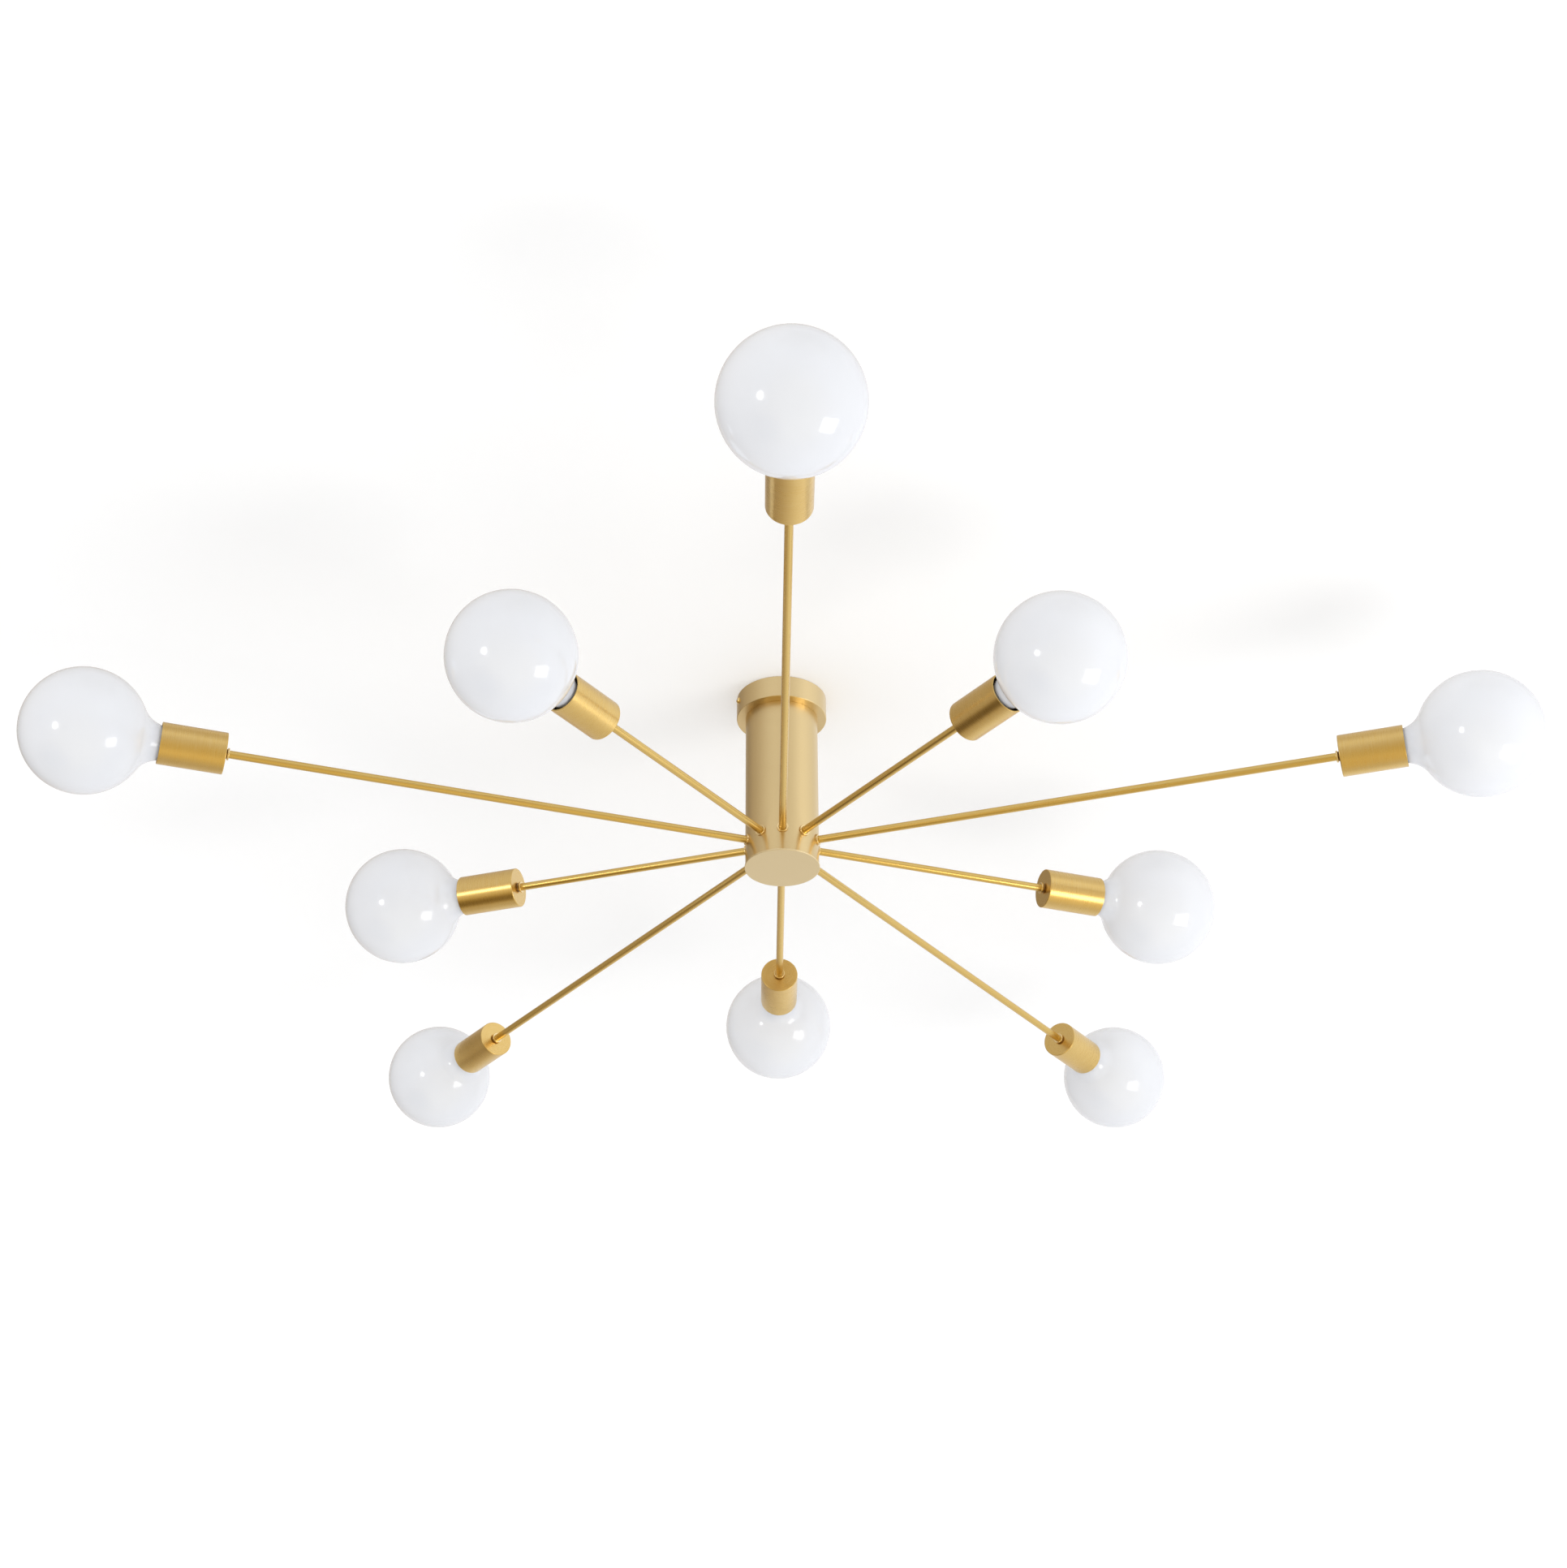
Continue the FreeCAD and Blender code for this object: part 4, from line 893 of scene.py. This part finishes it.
def buildCover():
    foot = -coverFoot.z
    face = foot - cover["thickness"]
    lipTop = -coverTop.z
    lipOuter = column["radius"] - column["wall"] - cover["lipPlay"]
    lipInner = lipOuter - cover["lipWall"]
    points = roundedOutline([
        (foot, 0.0), (foot, cover["radius"], cover["edge"]), (face, cover["radius"], cover["lipEdge"]),
        (face, lipOuter), (lipTop, lipOuter, cover["lipEdge"]), (lipTop, lipInner, cover["lipEdge"]),
        (face, lipInner), (face, 0.0),
    ], closed=False)
    piece = downColumn("bottomCover", points, paintedLightCoverBrass, Segments=144)
    declare(piece, "lamp", "satin_brass", "bottom_cover")


screw = {
    "headRadius": 3.5 * mm,
    "headHeight": 2.6 * mm,
    "shankRadius": 2 * mm,
    "shankStart": 41.95 * mm,
    "slotWidth": 0.9 * mm,
    "slotDepth": 1.0 * mm,
    "rim": 0.35 * mm,               # straight edge under the dome
    "domeSteps": 9,
    "toolPast": 4 * mm,
}


def buildSideScrews():
    # two domed heads on the canopy's skin, slotted for a screwdriver
    seat = canopy["radius"]
    dome = (screw["headRadius"] ** 2 + screw["headHeight"] ** 2) / (2 * screw["headHeight"])
    centre = Vector((seat + screw["headHeight"] - dome, 0))
    edge = Vector((seat + screw["rim"], screw["headRadius"]))
    top = Vector((seat + screw["headHeight"], 0))
    points = [Vector((screw["shankStart"], 0)), Vector((screw["shankStart"], screw["shankRadius"])),
              Vector((seat, screw["shankRadius"])), Vector((seat, screw["headRadius"])), edge]
    points += [*arcRun(centre, edge, top, screw["domeSteps"]), top]
    piece = grow("canopyScrews", armTree, points, {
        "Segments": 48, "First Arm": 1, "Arms": 2, "First Angle": 0.0, "Angle Step": math.pi,
        "Height": -canopy["screwDepth"], "Material": finishes["screw_brass"],
    })
    tools = []
    for side in (-1, 1):
        slotFoot = seat + screw["headHeight"] - screw["slotDepth"]
        ends = sorted((side * slotFoot, side * (slotFoot + screw["toolPast"])))
        half = screw["slotWidth"] / 2
        low = Vector((ends[0], -screw["toolPast"], -canopy["screwDepth"] - half))
        high = Vector((ends[1], screw["toolPast"], -canopy["screwDepth"] + half))
        tools.append(boxTool(low, high))
    cutWith(piece, tools)
    declare(piece, "lamp", "screw_brass", "canopy_side_screws")


buildCanopy()
buildColumn()
buildCover()
buildSideScrews()
print("canopy and column built")


# arms and what joins them to column and cup

arm = {
    "radius": 4 * mm,
    "bore": 3 * mm,
    "edge": 0.2 * mm,
    "neckGap": 2 * mm,              # arm's end to the cup's back
}
collar = {
    "radius": 6.1 * mm,
    "bore": 4.1 * mm,
    "thickness": 1.8 * mm,
    "edge": 0.45 * mm,
    "boreEdge": 0.2 * mm,
    "cupEdge": 0.3 * mm,            # on the side of the cup
    "waistEdge": 0.15 * mm,         # beside the undercut
    "undercut": 0.5 * mm,           # leaves a dark line between hub collar and column
}
nipple = {
    "spigot": 8 * mm,
    "spigotRadius": 2.95 * mm,
    "neckRadius": 5 * mm,
    "tailRadius": 4 * mm,
    "tailEnd": 10.2 * mm,           # past the cup's back
    "bore": 1.9 * mm,
    "spigotEdge": 0.3 * mm,
    "tailEdge": 0.4 * mm,
    "threadDepth": 0.3 * mm,
    "threadPitch": 0.75 * mm,
    "threadFade": 0.3 * mm,
    "threadStop": 0.5 * mm,         # before the tail's end
}


def buildArms():
    for number in range(1, ring["count"] + 1):
        cupBack = ring["longCup"] if number % 2 else ring["shortCup"]
        end = cupBack - arm["neckGap"]
        points = roundedOutline([
            (ring["tubeStart"], arm["bore"]), (ring["tubeStart"], arm["radius"], arm["edge"]),
            (end, arm["radius"], arm["edge"]), (end, arm["bore"]),
        ])
        piece = alongArms(f"armTube{number}", points, finishes["arm_brass"], **{
            "Segments": 64, "First Arm": number, "Arms": 1, "Long Reach": 0.0, "Short Reach": 0.0,
        })
        declare(piece, "lamp", "arm_brass", f"arm_{number}")


def buildCollars():
    waist = collar["radius"] - collar["undercut"]
    back = roundedOutline([
        (0.0, collar["bore"]), (0.0, waist), (collar["undercut"], waist),
        (collar["undercut"], collar["radius"], collar["waistEdge"]),
        (collar["thickness"], collar["radius"], collar["edge"]),
        (collar["thickness"], collar["bore"], collar["boreEdge"]),
    ])
    piece = alongArms("hubCollars", back, paintedLightCollarBrass, **{
        "Segments": 64, "Long Reach": column["radius"], "Short Reach": column["radius"],
        "Saddle Radius": column["radius"],
    })
    declare(piece, "lamp", "arm_brass", "hub_collars")
    end = -arm["neckGap"]
    front = roundedOutline([
        (end - collar["thickness"], collar["bore"]),
        (end - collar["thickness"], collar["radius"], collar["edge"]),
        (end, collar["radius"], collar["cupEdge"]), (end, collar["bore"], collar["boreEdge"]),
    ])
    piece = alongArms("cupCollars", front, paintedLightCollarBrass, Segments=64)
    declare(piece, "lamp", "arm_brass", "cup_collars")


def buildNipples():
    start = -arm["neckGap"]
    points = roundedOutline([
        (start - nipple["spigot"], nipple["bore"]),
        (start - nipple["spigot"], nipple["spigotRadius"], nipple["spigotEdge"]),
        (start, nipple["spigotRadius"]), (start, nipple["neckRadius"]),
        (0.0, nipple["neckRadius"]), (0.0, nipple["tailRadius"]),
        (nipple["tailEnd"], nipple["tailRadius"], nipple["tailEdge"]), (nipple["tailEnd"], nipple["bore"]),
    ])
    points = divided(points, start, nipple["tailEnd"], nipple["threadPitch"] / 6)
    piece = alongArms("cupNipples", points, finishes["neck_steel"], **{
        "Segments": 32, "Thread Depth": nipple["threadDepth"], "Thread Pitch": nipple["threadPitch"],
        "Thread From": start, "Thread To": nipple["tailEnd"] - nipple["threadStop"],
        "Thread Fade": nipple["threadFade"],
    })
    declare(piece, "lamp", "neck_steel", "cup_nipples")


buildArms()
buildCollars()
buildNipples()
print("arms built:", ring["count"])


# cups and lampholders

cup = {
    "radius": 21 * mm,
    "length": cupMouth,
    "wall": 1.2 * mm,
    "backEdge": 0.8 * mm,
    "lipEdge": 0.3 * mm,
    "holeEdge": 0.2 * mm,
    "innerEdge": 0.8 * mm,
    "hole": 4.1 * mm,
}
holder = {
    "start": cup["wall"],
    "length": 51 * mm,
    "radius": 18.8 * mm,
    "heelRadius": 17 * mm,
    "heelLength": 7 * mm,
    "floor": 17 * mm,
    "bore": 14.1 * mm,
    "tailDepth": 9 * mm,
    "edge": 0.5 * mm,
    "lip": 1.2 * mm,
}
shell = {
    "bore": 13.5 * mm,
    "wall": 0.25 * mm,
    "start": 23.2 * mm,
    "end": 49.5 * mm,
    "threadDepth": -0.3 * mm,       # the thread swells outwards, clear of the cap
    "threadPitch": 3.6 * mm,
    "threadFade": 2 * mm,
    "threadMargin": 1 * mm,
}


def buildCups():
    bore = cup["radius"] - cup["wall"]
    points = roundedOutline([
        (0.0, cup["hole"], cup["holeEdge"]), (0.0, cup["radius"], cup["backEdge"]),
        (cup["length"], cup["radius"], cup["lipEdge"]), (cup["length"], bore, cup["lipEdge"]),
        (cup["wall"], bore, cup["innerEdge"]), (cup["wall"], cup["hole"]),
    ])
    for number in range(1, ring["count"] + 1):
        piece = alongArms(f"cup{number}", points, finishes["brushed_brass"], **{
            "Segments": 112, "First Arm": number, "Arms": 1,
        })
        declare(piece, "lamp", "brushed_brass", f"cup_{number}")


def buildHolders():
    def at(length, radius, *edge):
        return (holder["start"] + length, radius, *edge)
    shoulder = holder["heelLength"] + holder["radius"] - holder["heelRadius"]
    points = roundedOutline([
        at(holder["tailDepth"], 0.0), at(holder["tailDepth"], cup["hole"]), at(0.0, cup["hole"]),
        at(0.0, holder["heelRadius"], holder["edge"]),
        at(holder["heelLength"], holder["heelRadius"], holder["edge"]),
        at(shoulder, holder["radius"], holder["edge"]), at(holder["length"], holder["radius"], holder["lip"]),
        at(holder["length"], holder["bore"], holder["lip"]), at(holder["floor"], holder["bore"]),
        at(holder["floor"], 0.0),
    ], closed=False)
    piece = alongArms("lampholders", points, finishes["holder_black"], Segments=80)
    declare(piece, "lamp", "holder_black", "lampholders")
    points = roundedOutline([
        (shell["start"], shell["bore"]), (shell["start"], shell["bore"] + shell["wall"]),
        (shell["end"], shell["bore"] + shell["wall"]), (shell["end"], shell["bore"]),
    ])
    points = divided(points, shell["start"], shell["end"], shell["threadPitch"] / 10)
    piece = alongArms("holderShells", points, finishes["shell_brass"], **{
        "Segments": 64, "Thread Depth": shell["threadDepth"], "Thread Pitch": shell["threadPitch"],
        "Thread From": shell["start"] + shell["threadMargin"],
        "Thread To": shell["end"] - shell["threadMargin"], "Thread Fade": shell["threadFade"],
    })
    declare(piece, "lamp", "shell_brass", "lampholder_shells")


buildCups()
buildHolders()
print("cups and lampholders built")


# bulbs, each on its own body

def buildBulbs():
    glass = glassSkin(0.0, globe["skinSteps"]) + glassSkin(globe["wall"], globe["innerSteps"])[::-1]
    mouth = globe["capMouth"]
    for number in range(1, ring["count"] + 1):
        piece = alongArms(f"globe{number}", glass, finishes["opal_glass"], **{
            "Segments": globe["segments"], "First Arm": number, "Arms": 1,
        })
        declare(piece, f"bulb_{number}", "opal_glass", f"globe_{number}")
        piece = alongArms(f"bulbCap{number}", capPoints, finishes["cap_metal"], **{
            "Segments": 72, "First Arm": number, "Arms": 1,
            "Thread Depth": cap["threadDepth"], "Thread Pitch": cap["threadPitch"],
            "Thread From": mouth - cap["skirt"] - cap["threadLength"], "Thread To": mouth - cap["skirt"],
            "Thread Fade": cap["threadFade"],
        })
        declare(piece, f"bulb_{number}", "cap_metal", f"bulb_cap_{number}")


buildBulbs()
print("bulbs built:", ring["count"])


# point of view, fitted to the ten globes, the arms and the rims

view = {
    "place": (-0.6962, -2.1755, -1.4965),
    "heading": 72.211,              # degrees from +X
    "pitch": 31.332,                # looking up
    "roll": -0.294,
    "lens": 57.51,
    "sensor": 36.0,
}


# room: a pale ceiling seen from below, a pale floor seen from above

room = {
    "ceiling": 0.6 * mm,            # just above the canopy's rim
    "floor": -2.7,
    "half": 14.0,                   # from the middle to each side
    "ceilingGlow": (0.20, 0.35),    # at the light, and far out where the photo goes to white
    "ceilingTone": (0.80, 0.80, 0.80),
    "floorGlow": (0.50, 0.50),
    "floorTone": (0.42, 0.42, 0.42),
    "spread": (0.5, 1.7),           # where the ceiling's glow starts to grow, and where it stops
}


def roomMaterial(name, tone, glow):
    # seen from the room's side only, so that no view is blocked
    material, bench = newMaterial(name)
    lit = bench.node("ShaderNodeBsdfDiffuse", None, {"Color": tone})
    place = bench.node("ShaderNodeTexCoord").out("Object")
    distance = bench.node("ShaderNodeVectorMath", {"operation": "LENGTH"}, {0: place}).out("Value")
    strength = bench.between(distance, *room["spread"], *glow)
    own = bench.node("ShaderNodeEmission", None, {"Color": (1.0, 1.0, 1.0), "Strength": strength})
    both = bench.node("ShaderNodeAddShader", None, {0: lit, 1: own})
    clear = bench.node("ShaderNodeBsdfTransparent")
    behind = bench.node("ShaderNodeNewGeometry").out("Backfacing")
    shown = bench.node("ShaderNodeMixShader", None, {0: behind, 1: both, 2: clear})
    bench.node("ShaderNodeOutputMaterial", None, {"Surface": shown})
    return material


def buildPlane(name, height, facing, material):
    half = room["half"]
    corners = [(-half, -half), (half, -half), (half, half), (-half, half)][::facing]
    mesh = bpy.data.meshes.new(name)
    mesh.from_pydata([(x, y, height) for x, y in corners], [], [(0, 1, 2, 3)])
    mesh.materials.append(material)
    plane = bpy.data.objects.new(name, mesh)
    bpy.context.scene.collection.objects.link(plane)
    plane.visible_glossy = False            # the metal takes its reflections from the room all round


ceilingPaint = roomMaterial("ceilingPaint", room["ceilingTone"], room["ceilingGlow"])
floorPaint = roomMaterial("floorPaint", room["floorTone"], room["floorGlow"])
buildPlane("ceiling", room["ceiling"], -1, ceilingPaint)
buildPlane("floor", room["floor"], 1, floorPaint)


# light

lights = {
    "window": {
        "place": (1.345, -1.093, -1.467), "shape": "RECTANGLE", "size": (0.95, 0.70), "power": 8.3,
        "tilt": 35.0, "colour": (1.0, 0.99, 0.97),
    },
    "lamp": {
        "place": (-3.43, -2.00, -1.306), "shape": "ELLIPSE", "size": (0.72, 0.72), "power": 10.5,
        "tilt": 0.0, "colour": (1.0, 1.0, 1.0),
    },
}


def buildLight(name, given):
    data = bpy.data.lights.new(name, "AREA")
    data.shape = given["shape"]
    data.size, data.size_y = given["size"]
    data.energy = given["power"]
    data.color = given["colour"]
    light = bpy.data.objects.new(name, data)
    light.location = given["place"]
    aim = Vector((0, 0, ring["height"])) - light.location
    turn = Matrix.Rotation(math.radians(given["tilt"]), 4, "Z")
    faced = aim.to_track_quat("-Z", "Y").to_matrix().to_4x4()
    light.matrix_world = Matrix.Translation(light.location) @ faced @ turn
    bpy.context.scene.collection.objects.link(light)


for name, given in lights.items():
    buildLight(name, given)


def heading(azimuth, elevation):
    # direction seen from the light: azimuth in degrees to the right of the camera's line of sight
    turn = math.radians(view["heading"] - azimuth)
    rise = math.radians(elevation)
    return (math.cos(rise) * math.cos(turn), math.cos(rise) * math.sin(turn), math.sin(rise))


surroundings = {
    "level": 0.80,
    "swing": 0.37,                          # the open side of the room is brighter by this much
    "openSide": heading(133, 0),
    "floorSide": heading(180, -60),
    "floorFade": (0.30, 0.95),              # cosines off that side between which the floor's tone comes in
    "dimToBright": (0.30, 1.00),            # levels between which the tone changes
    "least": 0.1,
    "bright": (1.000, 1.000, 1.030),        # tone of the light parts, the dim parts and the floor
    "dim": (1.000, 0.850, 0.680),
    "floor": (1.000, 0.850, 0.520),
    "deep": (1.000, 0.640, 0.180),          # and of the darkest patch, low on the left
}
patches = {                                 # "from" is the cosine, off its side, where a patch starts
    "farWall": {"side": heading(15, 0), "from": 0.50, "adds": 0.32},
    "nearWall": {"side": heading(165, -15), "from": 0.50, "adds": -0.38},
    "sideShade": {"side": heading(-50, 10), "from": 0.85, "adds": -0.16},
    "darkFloor": {"side": heading(-90, -53), "from": 0.84, "adds": -0.60},
    "upperShade": {"side": heading(150, 60), "from": 0.84, "adds": -0.26},
}


def buildWorld():
    # soft room light as the photographed metal shows it: an open side, pale and dim walls, a warm floor
    world = bpy.data.worlds.new("softRoom")
    world.use_nodes = True
    world.node_tree.nodes.clear()
    bench = Bench(world.node_tree)
    direction = bench.node("ShaderNodeTexCoord").out("Generated")

    def towards(side):
        return bench.node("ShaderNodeVectorMath", {"operation": "DOT_PRODUCT"}, {0: direction, 1: side})

    level = surroundings["level"] + surroundings["swing"] * towards(surroundings["openSide"])
    inPatch = {}
    for name, patch in patches.items():
        inPatch[name] = bench.between(towards(patch["side"]), patch["from"], 1.0)
        level = level + patch["adds"] * inPatch[name]
    floorward = bench.between(towards(surroundings["floorSide"]), *surroundings["floorFade"])
    brightness = bench.between(level, *surroundings["dimToBright"])
    tone = bench.mixed(brightness, surroundings["dim"], surroundings["bright"])
    tone = bench.mixed(floorward, tone, surroundings["floor"])
    tone = bench.mixed(inPatch["darkFloor"], tone, surroundings["deep"])
    strength = level.math("MAXIMUM", surroundings["least"])
    sky = bench.node("ShaderNodeBackground", None, {"Color": tone, "Strength": strength})
    bench.node("ShaderNodeOutputWorld", None, {"Surface": sky})
    bpy.context.scene.world = world


buildWorld()


# camera

def buildCamera():
    data = bpy.data.cameras.new("photoView")
    data.lens = view["lens"]
    data.sensor_width = view["sensor"]
    data.clip_start, data.clip_end = 0.05, 60.0
    camera = bpy.data.objects.new("photoView", data)
    level = Matrix.Rotation(math.radians(view["heading"] - 90), 4, "Z")
    tip = Matrix.Rotation(math.radians(90 + view["pitch"]), 4, "X")
    roll = Matrix.Rotation(math.radians(view["roll"]), 4, "Z")
    camera.matrix_world = Matrix.Translation(view["place"]) @ level @ tip @ roll
    bpy.context.scene.collection.objects.link(camera)
    bpy.context.scene.camera = camera


buildCamera()
bpy.context.scene.view_settings.view_transform = "Standard"
print("room, light and camera set")
